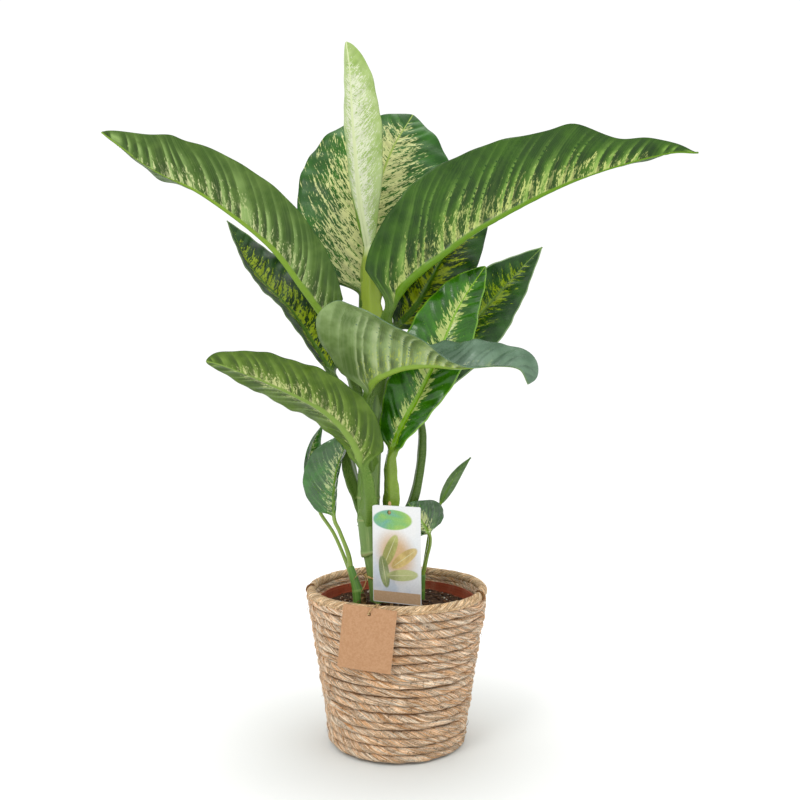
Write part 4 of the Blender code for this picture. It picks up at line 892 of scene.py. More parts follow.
def seagrass_rope():
    """The coil swept as a two-ply rope: its points, what they carry, and its faces."""
    turns, radius, height, angle, on_base = coil_line()
    step = np.hypot(np.gradient(radius), radius * np.gradient(angle))
    run = np.cumsum(step)
    free = np.clip((height - 0.012) / 0.02, 0.0, 1.0)
    height = height + (slow_wave(run, 0.060, 1, 0.0010) + slow_wave(run, 0.021, 6, 0.0004)) * free
    radius = radius + slow_wave(run, 0.030, 2, 0.0006) + slow_wave(run, 0.011, 7, 0.0003)
    thick = ROPE_RADIUS * (1.06 + slow_wave(run, 0.035, 3, 0.13) + slow_wave(run, 0.010, 8, 0.10))
    thick = np.where(on_base > 0, np.minimum(thick, ROPE_RADIUS), thick)
    twist = -math.tau * run / PLY_TURN + slow_wave(run, 0.070, 4, 2.8) + slow_wave(run, 0.026, 9, 0.9)
    deep = 0.22 + slow_wave(run, 0.05, 10, 0.12)
    around = 30
    section = np.arange(around) * math.tau / around
    outward = np.stack([np.cos(angle), np.sin(angle), np.zeros_like(angle)], axis=1)
    upward = np.array([0.0, 0.0, 1.0])
    centre = outward * radius[:, None] + upward * height[:, None]
    points, strand, ply = [], [], []
    for spot in section:
        lay = spot - twist
        valley = 1.0 - np.abs(np.sin(lay)) ** 0.6
        blade_ridge = 0.050 * np.sin(7.0 * lay + slow_wave(run, 0.022, 5, 3.0)) * (1.0 - valley)
        blade_ridge += 0.030 * np.sin(13.0 * lay + slow_wave(run, 0.011, 11, 4.0)) * (1.0 - valley)
        reach = thick * (1.0 - deep * valley**2 + blade_ridge)
        tall = np.sin(spot) * (1.0 - 0.06 * np.sin(spot) ** 2)
        point = centre + outward * (reach * np.cos(spot))[:, None] + upward * (reach * tall)[:, None]
        point[:, 2] = np.maximum(point[:, 2], 0.0002)
        points.append(point)
        side = np.floor(lay / math.pi)
        # the third value, the groove's depth, sets the painted shade in the grooves
        strand.append(np.stack([run, lay - side * math.pi, valley], axis=1))
        # painted shade where the rows meet: the top and bottom of the rope's section
        row_gap_shade = np.full_like(run, abs(math.sin(spot)) ** 5)
        ply.append(np.stack([np.mod(side, 2.0) * 3.7, height * 100, row_gap_shade], axis=1))
    stack = [np.stack(block, axis=1).reshape(-1, 3) for block in (points, strand, ply)]
    rings = len(run)
    faces = ring_faces(rings, around)
    last = (rings - 1) * around
    faces += [tuple(range(around))[::-1], tuple(range(last, last + around))]
    print(f"rope: {run[-1]:.2f} m long in {turns[-1] - turns[0]:.1f} turns")
    return stack, faces


def lining(first):
    """A thin band behind the rows, where the rope's inner plies close the gaps, coloured with painted shade.
    """
    points, faces, around, levels = [], [], 96, 14
    for radius_in in (0.0004, -0.0004):
        for height in np.linspace(0.006, WALL_TOP, levels):
            radius = float(wall_radius(height)) - WALL_THICKNESS / 2 + radius_in
            for spot in range(around):
                turn = math.tau * spot / around
                points.append((radius * math.cos(turn), radius * math.sin(turn), height))
    outer = ring_faces(levels, around, first=first)
    inner = [face[::-1] for face in ring_faces(levels, around, first=first + levels * around)]
    for spot in range(around):
        after = (spot + 1) % around
        low, high = first, first + (levels - 1) * around
        other_low, other_high = low + levels * around, high + levels * around
        faces.append((low + after, low + spot, other_low + spot, other_low + after))
        faces.append((high + spot, high + after, other_high + after, other_high + spot))
    return points, outer + inner + faces


(rope_points, rope_strand, rope_ply), rope_faces = seagrass_rope()
lining_points, lining_faces = lining(len(rope_points))
lining_zeros = np.zeros((len(lining_points), 3))
# the lining carries full groove and row-gap values, so it is painted all in shade
lining_painted_shade = lining_zeros + (0.0, 0.0, 1.0)
make_piece("seagrass_wall", np.vstack([rope_points, lining_points]), rope_faces + lining_faces, [rope_grass],
           ("basket_body",),
           {"strand": np.vstack([rope_strand, lining_painted_shade]), "ply": np.vstack([rope_ply, lining_painted_shade])})

# %% [markdown]
# ## Basket: the wrapped rim
# The top edge is a grass core wrapped with flat dry leaf. Each turn of the strip laps over the last
# like a shingle. The mesh grid is sheared so that its lines run along the strip: that keeps the lap
# edges crisp, which noise or a bump map can't do.

# %% The wrapped rim
WRAPS = 26
STEPS_PER_WRAP = 16
RIM_AROUND = 20


def wrapped_rim():
    """The rolled rim, as turns of flat leaf that lap over each other."""
    dice = random.Random(5)
    rings = WRAPS * STEPS_PER_WRAP
    tones = [dice.uniform(0.0, 9.0) for _ in range(WRAPS)]
    swell = [dice.uniform(-0.03, 0.04) for _ in range(WRAPS)]
    points, strand, ply = [], [], []
    for ring in range(rings):
        wrap, part = divmod(ring, STEPS_PER_WRAP)
        lap = part / (STEPS_PER_WRAP - 1)
        for spot in range(RIM_AROUND):
            round_share = spot / RIM_AROUND
            angle = math.tau * (ring + 2 * STEPS_PER_WRAP * round_share) / rings
            section = math.tau * round_share
            crease = 0.02 * math.sin(9.0 * lap + 3.0 * math.sin(section + wrap))
            reach = RIM_ROLL * (0.92 + 0.13 * lap**0.6 + swell[wrap] + crease)
            radius = RIM_RADIUS + reach * math.cos(section)
            height = RIM_Z + reach * math.sin(section) * 1.02 + 0.0004 * math.sin(angle * 3 + 1)
            points.append((radius * math.cos(angle), radius * math.sin(angle), height))
            # the third value is painted shade at the start of each turn, where the turn before laps over it
            strand.append((section * 0.008 + wrap, lap * 3.0, max(0.0, 1.0 - lap * 9.0) if part else 1.0))
            ply.append((tones[wrap], 0.0, 0.0))
    faces = []
    for ring in range(rings):
        for spot in range(RIM_AROUND):
            following = (ring + 1) % rings
            if spot < RIM_AROUND - 1:
                faces.append((ring * RIM_AROUND + spot, following * RIM_AROUND + spot,
                              following * RIM_AROUND + spot + 1, ring * RIM_AROUND + spot + 1))
            else:
                over = (ring + 2 * STEPS_PER_WRAP) % rings
                over_next = (following + 2 * STEPS_PER_WRAP) % rings
                faces.append((ring * RIM_AROUND + spot, following * RIM_AROUND + spot,
                              over_next * RIM_AROUND, over * RIM_AROUND))
    return make_piece("wrapped_rim", points, faces, [wrap_grass], ("basket_rim",),
                      {"strand": strand, "ply": ply})


wrapped_rim()

# %% [markdown]
# ## Basket: loose ends
# Hand-made grass work sheds. Thin fibres stand off the rows, the wrapping strip ends in a dark knot
# on one side and in a frayed nub on the other. They are small swept tubes in one mesh, laid with a
# fixed seed, because a clean outline would give the basket away as a computer's.

# %% Loose fibres and knots
FIBRES = 150


def tube_along(line, radii, around, first):
    """Points and faces of a thin tube; `first` is the number of its first point."""
    ahead = np.gradient(line, axis=0)
    points = []
    for centre, forward, radius in zip(line, ahead, radii):
        forward = unit(forward)
        side = unit(np.cross(forward, (0.12, 0.35, 0.93)))
        other = np.cross(side, forward)
        for spot in range(around):
            turn = math.tau * spot / around
            points.append(centre + radius * (side * math.cos(turn) + other * math.sin(turn)))
    faces = ring_faces(len(line), around, first=first)
    last = first + (len(line) - 1) * around
    return points, faces + [tuple(range(first, first + around))[::-1], tuple(range(last, last + around))]


def loose_fibres():
    """Fibres that stand off the rows, and the two knots of the wrapping strip."""
    dice = random.Random(12)
    points, faces, strand = [], [], []

    def lay_fibre(knots, radius, number, around=5, steps=9):
        """One tapering fibre through the knots."""
        line = along(smooth_line(knots, 6), np.linspace(0.0, 1.0, steps))
        radii = [radius * (1.0 - 0.75 * (step / (steps - 1)) ** 2) for step in range(steps)]
        more, more_faces = tube_along(line, radii, around, len(points))
        points.extend(more)
        faces.extend(more_faces)
        for step in range(steps):
            strand.extend([(number * 0.37 + step * 0.002, 0.5, 0.0)] * around)

    for number in range(FIBRES):
        height = dice.uniform(0.006, WALL_TOP - 0.004)
        angle = dice.uniform(0.0, math.tau)
        out = float(wall_radius(height)) + 0.0001
        length = dice.uniform(0.004, 0.013)
        off = dice.uniform(0.0004, 0.0022)
        tilt = dice.uniform(-0.5, 0.5) * length
        way = dice.choice((-1, 1))
        knots = []
        for share in (0.0, 0.35, 0.7, 1.0):
            turned_to = angle + way * share * length / out
            reach = out + off * math.sin(math.pi * min(1.0, share * 0.8)) - 0.0006 * (share == 0.0)
            knots.append((reach * math.cos(turned_to), reach * math.sin(turned_to), height + tilt * share))
        lay_fibre(knots, dice.uniform(0.00012, 0.00030), number)
    for angle, spread, count in ((math.radians(183), 0.0042, 16), (math.radians(-22), 0.0036, 22)):
        middle = np.array((RIM_RADIUS * math.cos(angle), RIM_RADIUS * math.sin(angle), RIM_Z))
        outward = np.array((math.cos(angle), math.sin(angle), 0.0))
        beside = np.array((-outward[1], outward[0], 0.0))
        for number in range(count):
            slide = dice.uniform(-spread, spread)
            bow = RIM_ROLL * 1.08 + dice.uniform(0.0, 0.0006)
            start, stop = dice.uniform(-0.6, 0.1), dice.uniform(1.4, 2.6)
            knots = []
            for share in (0.0, 0.3, 0.6, 1.0):
                turned_to = start + (stop - start) * share
                rise = bow * math.sin(turned_to) + (0.0012 if share == 1.0 else 0.0)
                knot = middle + outward * bow * math.cos(turned_to) + beside * (slide * (1 - 0.6 * share))
                knots.append(knot + np.array((0, 0, rise)))
            lay_fibre(knots, dice.uniform(0.0003, 0.0006), 300 + number)
    zeros = np.zeros((len(points), 3))
    print(f"{len(faces)} faces of loose fibre")
    return make_piece("loose_fibres", points, faces, [loose_grass], (),
                      {"strand": strand, "ply": zeros})


loose_grass = grass_finish("loose_grass", paint(176, 134, 90), paint(138, 98, 62), paint(100, 66, 40),
                           paint(66, 42, 26), paint(46, 30, 18), paint(128, 82, 46), 0.0001)
loose_fibres()


# %% [markdown]
# ## Nursery pot
# Inside the basket stands the grower's own pot, thin terracotta-coloured plastic. Its shape in the
# frame is right, lip and drain holes included, so the node stays and only gets its finish: moulded
# plastic with fine turning marks, a dusty bloom and dark specks of soil.

# %% Pot plastic
plastic, tree, shader = new_finish("terracotta_plastic", 0.42, 0.4)
spot = add(tree, "TexCoord").outputs["Object"]
rings = grain(tree, stretched(tree, spot, (3.0, 3.0, 420.0)), 1.0, 2.0)
dust = grain(tree, spot, 60.0, 5.0, 0.65)
clay = blend(tree, fade(tree, rings, 0.4, 0.62), paint(176, 82, 52), paint(198, 100, 66))
clay = blend(tree, fade(tree, dust, 0.50, 0.70, 0.0, 0.55), clay, paint(206, 140, 108))
specks = grain(tree, spot, 520.0, 2.0, 0.5)
clay = blend(tree, fade(tree, specks, 0.66, 0.72, 0.0, 0.8), clay, paint(70, 48, 34))
tree.links.new(clay, shader.inputs["Base Color"])
tree.links.new(fade(tree, dust, 0.35, 0.7, 0.35, 0.65), shader.inputs["Roughness"])
relief(tree, shader, rings, 0.0001, 0.5)
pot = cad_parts["nursery_pot"]
for pot_slot in pot.material_slots:
    pot_slot.material = plastic
print("pot:", len(pot.data.polygons), "faces kept")

# %% [markdown]
# ## Potting soil
# Peat with bark chips, grit and white perlite. The ball itself is a mound with a lumpy top. What the
# eye reads as soil is the loose stuff on it, so several hundred crumbs of three kinds are strewn on
# top: each is a small ball pushed out of shape, joined into one mesh.

# %% Soil
_, POT_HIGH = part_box("nursery_pot")
SOIL_LOW, SOIL_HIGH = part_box("soil")
SOIL_RADIUS = SOIL_HIGH.x - 0.0002
peat, tree, shader = new_finish("peat", 0.95, 0.15)
spot = add(tree, "TexCoord").outputs["Object"]
lumps = grain(tree, spot, 260.0, 6.0, 0.7)
damp = grain(tree, spot, 45.0, 3.0)
earth = colour_steps(tree, lumps, [(0.30, paint(34, 22, 15)), (0.48, paint(66, 44, 30)),
                                   (0.60, paint(98, 70, 48)), (0.75, paint(150, 118, 86))])
earth = blend(tree, fade(tree, damp, 0.45, 0.65, 0.0, 0.5), earth, paint(40, 26, 18))
tree.links.new(earth, shader.inputs["Base Color"])
relief(tree, shader, lumps, 0.0012, 1.0)


def soil_height(x, y):
    """The height of the lumpy soil at this spot."""
    radius = math.hypot(x, y)
    mound = SOIL_HIGH.z - 0.0008 - 0.0042 * (radius / SOIL_RADIUS) ** 2
    lumpy = random_field.fractal(Vector((x, y, 0.3)) * 90.0, 0.8, 2.1, 5)
    return mound + 0.0016 * lumpy


def soil_ball():
    """The root ball: a lumpy mound on a tapering plug."""
    around, rings = 120, 44
    points = [(0.0, 0.0, soil_height(0.0, 0.0))]
    for ring in range(1, rings + 1):
        radius = SOIL_RADIUS * ring / rings
        for step in range(around):
            turn = math.tau * step / around
            x, y = radius * math.cos(turn), radius * math.sin(turn)
            points.append((x, y, soil_height(x, y)))
    faces = [(0, 1 + step, 1 + (step + 1) % around) for step in range(around)]
    faces += [face[::-1] for face in ring_faces(rings, around, first=1)]
    rim = 1 + (rings - 1) * around
    for height, share in ((POT_HIGH.z - 0.016, 0.998), (SOIL_LOW.z, 0.745)):
        radius = SOIL_RADIUS * share
        for step in range(around):
            turn = math.tau * step / around
            points.append((radius * math.cos(turn), radius * math.sin(turn), height))
    faces += [face[::-1] for face in ring_faces(3, around, first=rim)]
    faces.append(tuple(range(rim + 2 * around, rim + 3 * around))[::-1])
    return make_piece("soil_ball", points, faces, [peat], ("soil",))


soil_ball()


# %% [markdown]
# ## Crumbs on the soil
# Loose grains catch the light one by one, which no bump map does. Particles would scatter them too. A
# seeded loop is as short, and it says plainly where each crumb goes and how it is shaped.

# %% Crumbs on the soil
def crumb_finish(name, dark, light, roughness):
    """A mottled finish for one kind of crumb."""
    material, tree, shader = new_finish(name, roughness, 0.2)
    spot = add(tree, "TexCoord").outputs["Object"]
    mottle = grain(tree, spot, 350.0, 4.0, 0.65)
    tone = grain(tree, spot, 110.0, 1.0)
    colour = blend(tree, fade(tree, mottle, 0.36, 0.66), dark, light)
    colour = blend(tree, fade(tree, tone, 0.45, 0.62, 0.0, 0.35), colour, dark)
    tree.links.new(colour, shader.inputs["Base Color"])
    relief(tree, shader, mottle, 0.0004, 0.8)
    return material


bark_chip = crumb_finish("bark_chip", paint(58, 36, 24), paint(128, 88, 58), 0.85)
pale_grit = crumb_finish("pale_grit", paint(150, 122, 90), paint(214, 190, 156), 0.9)
perlite = crumb_finish("perlite", paint(196, 190, 178), paint(244, 242, 236), 0.9)
# each kind: its name, how many, their smallest and largest size, and how tall they are for their width
CRUMBS = [("bark", 330, (0.0016, 0.0052), 0.45), ("grit", 300, (0.0008, 0.0024), 0.7),
          ("perlite", 120, (0.0010, 0.0024), 0.9)]


def strewn_crumbs():
    """All crumbs as one mesh of small uneven lumps."""
    dice = random.Random(31)
    ball = bmesh.new()
    bmesh.ops.create_icosphere(ball, subdivisions=1, radius=1.0)
    shape = [vertex.co.copy() for vertex in ball.verts]
    corners = [tuple(vertex.index for vertex in face.verts) for face in ball.faces]
    ball.free()
    points, faces, which = [], [], []
    for kind, (name, count, sizes, flatness) in enumerate(CRUMBS):
        for _ in range(count):
            radius = (SOIL_RADIUS - 0.004) * math.sqrt(dice.random())
            turn = dice.uniform(0, math.tau)
            if name == "grit" and dice.random() < 0.55:
                radius, turn = dice.uniform(0.046, 0.070), math.radians(dice.uniform(185, 235))
            x, y = radius * math.cos(turn), radius * math.sin(turn)
            size = dice.uniform(*sizes) * 0.5
            tilt = Matrix.Rotation(dice.uniform(0, math.tau), 3, "Z")
            tilt = tilt @ Matrix.Rotation(dice.uniform(-0.6, 0.6), 3, "X")
            squash = Vector((dice.uniform(0.9, 1.6), dice.uniform(0.6, 1.0),
                             flatness * dice.uniform(0.6, 1.1)))
            first = len(points)
            middle = Vector((x, y, soil_height(x, y) + size * 0.25))
            for vertex in shape:
                lump = vertex * dice.uniform(0.72, 1.18)
                lump = Vector([part * factor for part, factor in zip(lump, squash)])
                points.append(middle + tilt @ lump * size)
            faces += [tuple(first + corner for corner in face) for face in corners]
            which += [kind] * len(corners)
    return make_piece("soil_crumbs", points, faces, [bark_chip, pale_grit, perlite], (),
                      which=which, smooth=False)


strewn_crumbs()

# %% [markdown]
# ## Cane and side shoots
# A dieffenbachia's cane is a green, ringed stem. Rings mark where old leaves let go, and shallow
# ridges run between them. A curve with a bevel would give a plain hose, so the section is swept by
# hand: its radius swells at each ring, and a few soft ridges follow the stem.

# %% Stem lines
CANE = [(-0.0165, 0.000, 0.115, 0.0104), (-0.0180, 0.000, 0.150, 0.0106), (-0.0205, 0.000, 0.170, 0.0104),
        (-0.0245, 0.000, 0.194, 0.0108), (-0.0262, 0.000, 0.199, 0.0124), (-0.0272, 0.000, 0.204, 0.0114),
        (-0.0300, 0.000, 0.240, 0.0120), (-0.0290, 0.000, 0.285, 0.0118), (-0.0262, 0.000, 0.330, 0.0105),
        (-0.0245, 0.001, 0.370, 0.0085), (-0.0235, 0.001, 0.405, 0.0065)]
SHOOT_LEFT = [(-0.0400, -0.003, 0.116, 0.0062), (-0.0405, -0.003, 0.150, 0.0062),
              (-0.0440, -0.002, 0.166, 0.0048), (-0.0490, 0.000, 0.182, 0.0034)]
SHOOT_RIGHT = [(0.0250, 0.008, 0.116, 0.0046), (0.0250, 0.008, 0.150, 0.0046),
               (0.0270, 0.008, 0.172, 0.0034)]
BUD = [(-0.0345, -0.0130, 0.1340), (-0.0350, -0.0140, 0.1520), (-0.0335, -0.0145, 0.1580)]
BUD_RADIUS = 0.0026


def stem_finish(name, dark, green, pale, scar):
    """Waxy green bark with long streaks, pale flecks and corky rings."""
    material, tree, shader = new_finish(name, 0.36, 0.35)
    _, run, angle, ring = written(tree, "bark")
    cosine, sine = sums(tree, "COSINE", angle), sums(tree, "SINE", angle)
    wrap = add(tree, "CombineXYZ", {0: cosine, 1: sine, 2: run}).outputs[0]
    streak = grain(tree, stretched(tree, wrap, (2.6, 2.6, 9.0)), 1.0, 4.0, 0.6, 0.3)
    colour = colour_steps(tree, streak, [(0.30, dark), (0.46, green), (0.58, green), (0.72, pale)])
    fleck = grain(tree, stretched(tree, wrap, (9.0, 9.0, 90.0)), 1.0, 2.0, 0.5)
    colour = blend(tree, fade(tree, fleck, 0.60, 0.70, 0.0, 0.45), colour, pale)
    colour = blend(tree, fade(tree, ring, 0.35, 0.8, 0.0, 0.55), colour, pale)
    colour = blend(tree, fade(tree, ring, 0.86, 0.97, 0.0, 0.8), colour, scar)
    tree.links.new(colour, shader.inputs["Base Color"])
    tree.links.new(fade(tree, fleck, 0.35, 0.7, 0.30, 0.48), shader.inputs["Roughness"])
    relief(tree, shader, grain(tree, stretched(tree, wrap, (14.0, 14.0, 40.0)), 1.0, 3.0), 0.0003, 0.6)
    return material


cane_bark = stem_finish("cane_bark", paint(82, 116, 52), paint(116, 150, 74), paint(164, 186, 112),
                        paint(150, 142, 92))
shoot_bark = stem_finish("shoot_bark", paint(72, 118, 44), paint(102, 152, 62), paint(150, 186, 96),
                         paint(140, 140, 86))


def grow_stem(name, line, finish, stands_for, rings_at=(), around=36, ridge=0.018, step=0.0012,
              seed=0, taper=0.0):
    """A stem along (x, y, z, radius) points, swollen at each height in rings_at."""
    dice = random.Random(seed)
    fine = smooth_line(line, 24)
    count = max(12, int(lengths(fine[:, :3])[-1] / step))
    fine = along(fine, np.linspace(0.0, 1.0, count))
    runs = lengths(fine[:, :3])
    phase = [dice.uniform(0, math.tau) for _ in range(3)]
    points, bark = [], []
    for index, (x, y, z, radius) in enumerate(fine):
        forward = unit(np.gradient(fine[:, :3], axis=0)[index])
        side = unit(np.cross(forward, (0.0, 1.0, 0.0)))
        front = np.cross(side, forward)
        ring = max((math.exp(-((z - height) / 0.0016) ** 2) for height in rings_at), default=0.0)
        end = min(1.0, (runs[-1] - runs[index]) / max(taper, 1e-6)) if taper else 1.0
        for spot in range(around):
            angle = math.tau * spot / around
            wavy = math.sin(3 * angle + phase[0] + 6 * z) + 0.6 * math.sin(7 * angle + phase[1] - 9 * z)
            reach = radius * (1.0 + ridge * wavy + 0.05 * ring)
            reach *= 0.15 + 0.85 * math.sin(0.5 * math.pi * end)
            points.append(np.array((x, y, z)) + reach * (side * math.cos(angle) + front * math.sin(angle)))
            bark.append((runs[index], angle, ring))
    faces = ring_faces(count, around)
    last = (count - 1) * around
    faces += [tuple(range(around))[::-1], tuple(range(last, last + around))]
    return make_piece(name, points, faces, [finish], stands_for, {"bark": bark})


CANE_RINGS = (0.1995, 0.2330, 0.2560, 0.3120)
grow_stem("ringed_cane", CANE, cane_bark, ("main_cane",), CANE_RINGS, seed=3)
grow_stem("shoot_left", SHOOT_LEFT, shoot_bark, ("shoot_stem_left",), (0.1580,), seed=4)
grow_stem("shoot_right", SHOOT_RIGHT, shoot_bark, ("shoot_stem_right",), (0.1560,), seed=5)

# %% [markdown]
# ## Dry bud
# At the cane's foot sits a small side bud that never grew, wrapped in dry scales. It is the same
# swept stem, short and pointed, with curled papery scales laid round it as thin curved tongues.

# %% Dry bud
BUD_RINGS = (0.1400, 0.1470, 0.1530)
bud_bark = stem_finish("dry_bud_scales", paint(52, 38, 22), paint(96, 76, 44), paint(178, 148, 92),
                       paint(120, 92, 54))
grow_stem("dry_bud", [(*BUD[0], BUD_RADIUS), (*BUD[1], BUD_RADIUS), (*BUD[2], BUD_RADIUS * 0.4)], bud_bark,
          ("basal_bud",), BUD_RINGS, around=20, ridge=0.06, step=0.0006, seed=6, taper=0.003)

# each scale: where round the bud, the height of its foot, its length and how far it curls out
SCALES = [(3.6, 0.1460, 0.0095, 0.8), (5.3, 0.1490, 0.0080, 0.5), (1.9, 0.1500, 0.0070, 1.1),
          (4.4, 0.1535, 0.0060, 0.3)]


def bud_scales():
    """Papery tongues that curl away from the bud."""
    points, faces, bark = [], [], []
    steps, around = 10, 8
    for number, (turn, height, length, lean) in enumerate(SCALES):
        foot = Vector((BUD[1][0], BUD[1][1], height))
        away = Vector((math.cos(turn), math.sin(turn), 0.0))
        along_side = Vector((-away.y, away.x, 0.0))
        first = len(points)
        for step in range(steps + 1):
            share = step / steps
            bend = lean * 2.4 * share
            middle = foot + away * (0.0024 + length * 0.55 * math.sin(bend) * share) + \
                Vector((0, 0, length * math.cos(bend * 0.7) * share))
            width = 0.0024 * math.sin(math.pi * min(1.0, 0.25 + 0.75 * share)) + 0.0002
            for side in (-1.0, -0.4, 0.4, 1.0):
                cup = away * (-0.0012 * side * side * (1 - 0.5 * share))
                points.append(middle + along_side * width * side + cup)
            for side in (1.0, 0.4, -0.4, -1.0):
                cup = away * (-0.0012 * side * side * (1 - 0.5 * share) + 0.0003)
                points.append(middle + along_side * width * side + cup)
            bark.extend([(share * 0.02, number + 0.1 * spot, 0.5 * share) for spot in range(around)])
        faces += ring_faces(steps + 1, around, first=first)
        last = first + steps * around
        faces += [tuple(range(first, first + around))[::-1], tuple(range(last, last + around))]
    return make_piece("bud_scales", points, faces, [bud_bark], (), {"bark": bark})


bud_scales()

# %% [markdown]
# ## Care card
# Such plants carry a small laminated card on a bamboo stick. Card and tag are both punched boards,
# so one helper cuts them: a flat curve outline with rounded corners and a hole, given thickness and a
# hair of bevel. The print is generic and without words: a soft sky with a warm glow, a sprig of leaves,
# a green oval and a plain tan band, all drawn by the finish from the card's own coordinates.

# %% Punched boards
CARD_SIZE = (0.054, 0.0995)
CARD_THICKNESS = 0.0006
CARD_CENTRE = (-0.0003, -0.0355, 0.2020)
CARD_TURN = math.radians(-25.0)    # its right side comes forward
CARD_ROLL = math.radians(-0.6)
CARD_HOLE = (-0.0080, 0.0427)     # in the card's own plane, from its centre
CARD_HOLE_RADIUS = 0.0022
STICK = [(-0.0050, -0.0275, 0.116), (-0.0075, -0.0295, 0.2560)]
STICK_RADIUS = 0.0016
TIE_Z = 0.1720
TIE_RADIUS = 0.0007
TAG_SIZE = (0.0522, 0.0625)
TAG_THICKNESS = 0.0007
TAG_RADIUS = 0.0969               # how far out the tag's middle hangs
TAG_TURN = math.radians(-17.0)    # where round the basket, from the front
TAG_FACING = math.radians(-8.0)
TAG_Z = 0.1328
TAG_LEAN = math.radians(3.5)
TAG_ROLL = math.radians(6.5)
TAG_HOLE = (-0.0004, 0.0245)
TAG_HOLE_RADIUS = 0.0018
STRING_RADIUS = 0.0006
STRING_SPREAD = 0.0009            # each strand lies this far to its side of the loop
STRING_SLANT = 0.0055             # the loop crosses the rim this far to the right of the hole
STRING_TUCK = 0.007
CORNER_STEPS = 6
HOLE_STEPS = 28


def punched_board(name, size, thickness, corner, hole, hole_radius, placing, finish, stands_for):
    """A thin board with rounded corners and one hole; the mesh carries its own flat coordinates."""
    width, height = size
    outline = []
    for quarter, (x, z) in enumerate(((1, 1), (-1, 1), (-1, -1), (1, -1))):
        for step in range(CORNER_STEPS + 1):
            turn = math.pi / 2 * (quarter + step / CORNER_STEPS)
            outline.append((x * (width / 2 - corner) + corner * math.cos(turn),
                            z * (height / 2 - corner) + corner * math.sin(turn)))
    circle = []
    for step in range(HOLE_STEPS):
        turn = math.tau * step / HOLE_STEPS
        circle.append((hole[0] + hole_radius * math.cos(turn), hole[1] + hole_radius * math.sin(turn)))
    curve = bpy.data.curves.new(name, "CURVE")
    curve.dimensions = "2D"
    curve.fill_mode = "BOTH"
    bevel = thickness * 0.2
    curve.extrude = thickness / 2 - bevel
    curve.bevel_depth = bevel
    curve.bevel_resolution = 1
    curve.offset = -bevel
    for loop in (outline, circle):
        spline = curve.splines.new("POLY")
        spline.points.add(len(loop) - 1)
        spline.use_cyclic_u = True
        for knot, (x, z) in zip(spline.points, loop):
            knot.co = (x, z, 0.0, 1.0)
    guide = bpy.data.objects.new(name + "_outline", curve)
    bpy.context.scene.collection.objects.link(guide)
    shape = bpy.data.meshes.new_from_object(guide.evaluated_get(bpy.context.evaluated_depsgraph_get()))
    bpy.data.objects.remove(guide, do_unlink=True)
    bm = bmesh.new()
    bm.from_mesh(shape)
    bmesh.ops.remove_doubles(bm, verts=bm.verts, dist=0.00001)
    flat = [(vertex.co.x, vertex.co.y, vertex.co.z) for vertex in bm.verts]
    faces = [[vertex.index for vertex in face.verts] for face in bm.faces]
    bm.free()
    bpy.data.meshes.remove(shape)
    upright = placing @ Matrix.Rotation(math.pi / 2, 4, "X")
    points = [upright @ Vector(co) for co in flat]
    spots = [(x / width, y / height, z / thickness) for x, y, z in flat]
    return make_piece(name, points, faces, [finish], stands_for, {"board": spots}, smooth=False)


# %% [markdown]
# ## The card's print
# A print could be a picture file, but then the card depends on one. Here ellipses and fades in the
# card's own coordinates draw it, so it stays sharp at any distance and needs nothing from outside.

# %% The card's print
def ellipse(tree, u, v, centre, radii, turn=0.0):
    """How far a point lies from an ellipse's middle, where 1 is its edge."""
    moved_u = sums(tree, "SUBTRACT", u, centre[0])
    moved_v = sums(tree, "SUBTRACT", v, centre[1])
    cos, sin = math.cos(turn), math.sin(turn)
    along_u = plus(tree, times(tree, moved_u, cos), times(tree, moved_v, sin))
    along_v = sums(tree, "SUBTRACT", times(tree, moved_v, cos), times(tree, moved_u, sin))
    squared_u = sums(tree, "POWER", sums(tree, "ABSOLUTE", sums(tree, "DIVIDE", along_u, radii[0])), 2.0)
    squared_v = sums(tree, "POWER", sums(tree, "ABSOLUTE", sums(tree, "DIVIDE", along_v, radii[1])), 2.0)
    return sums(tree, "POWER", plus(tree, squared_u, squared_v), 0.5)


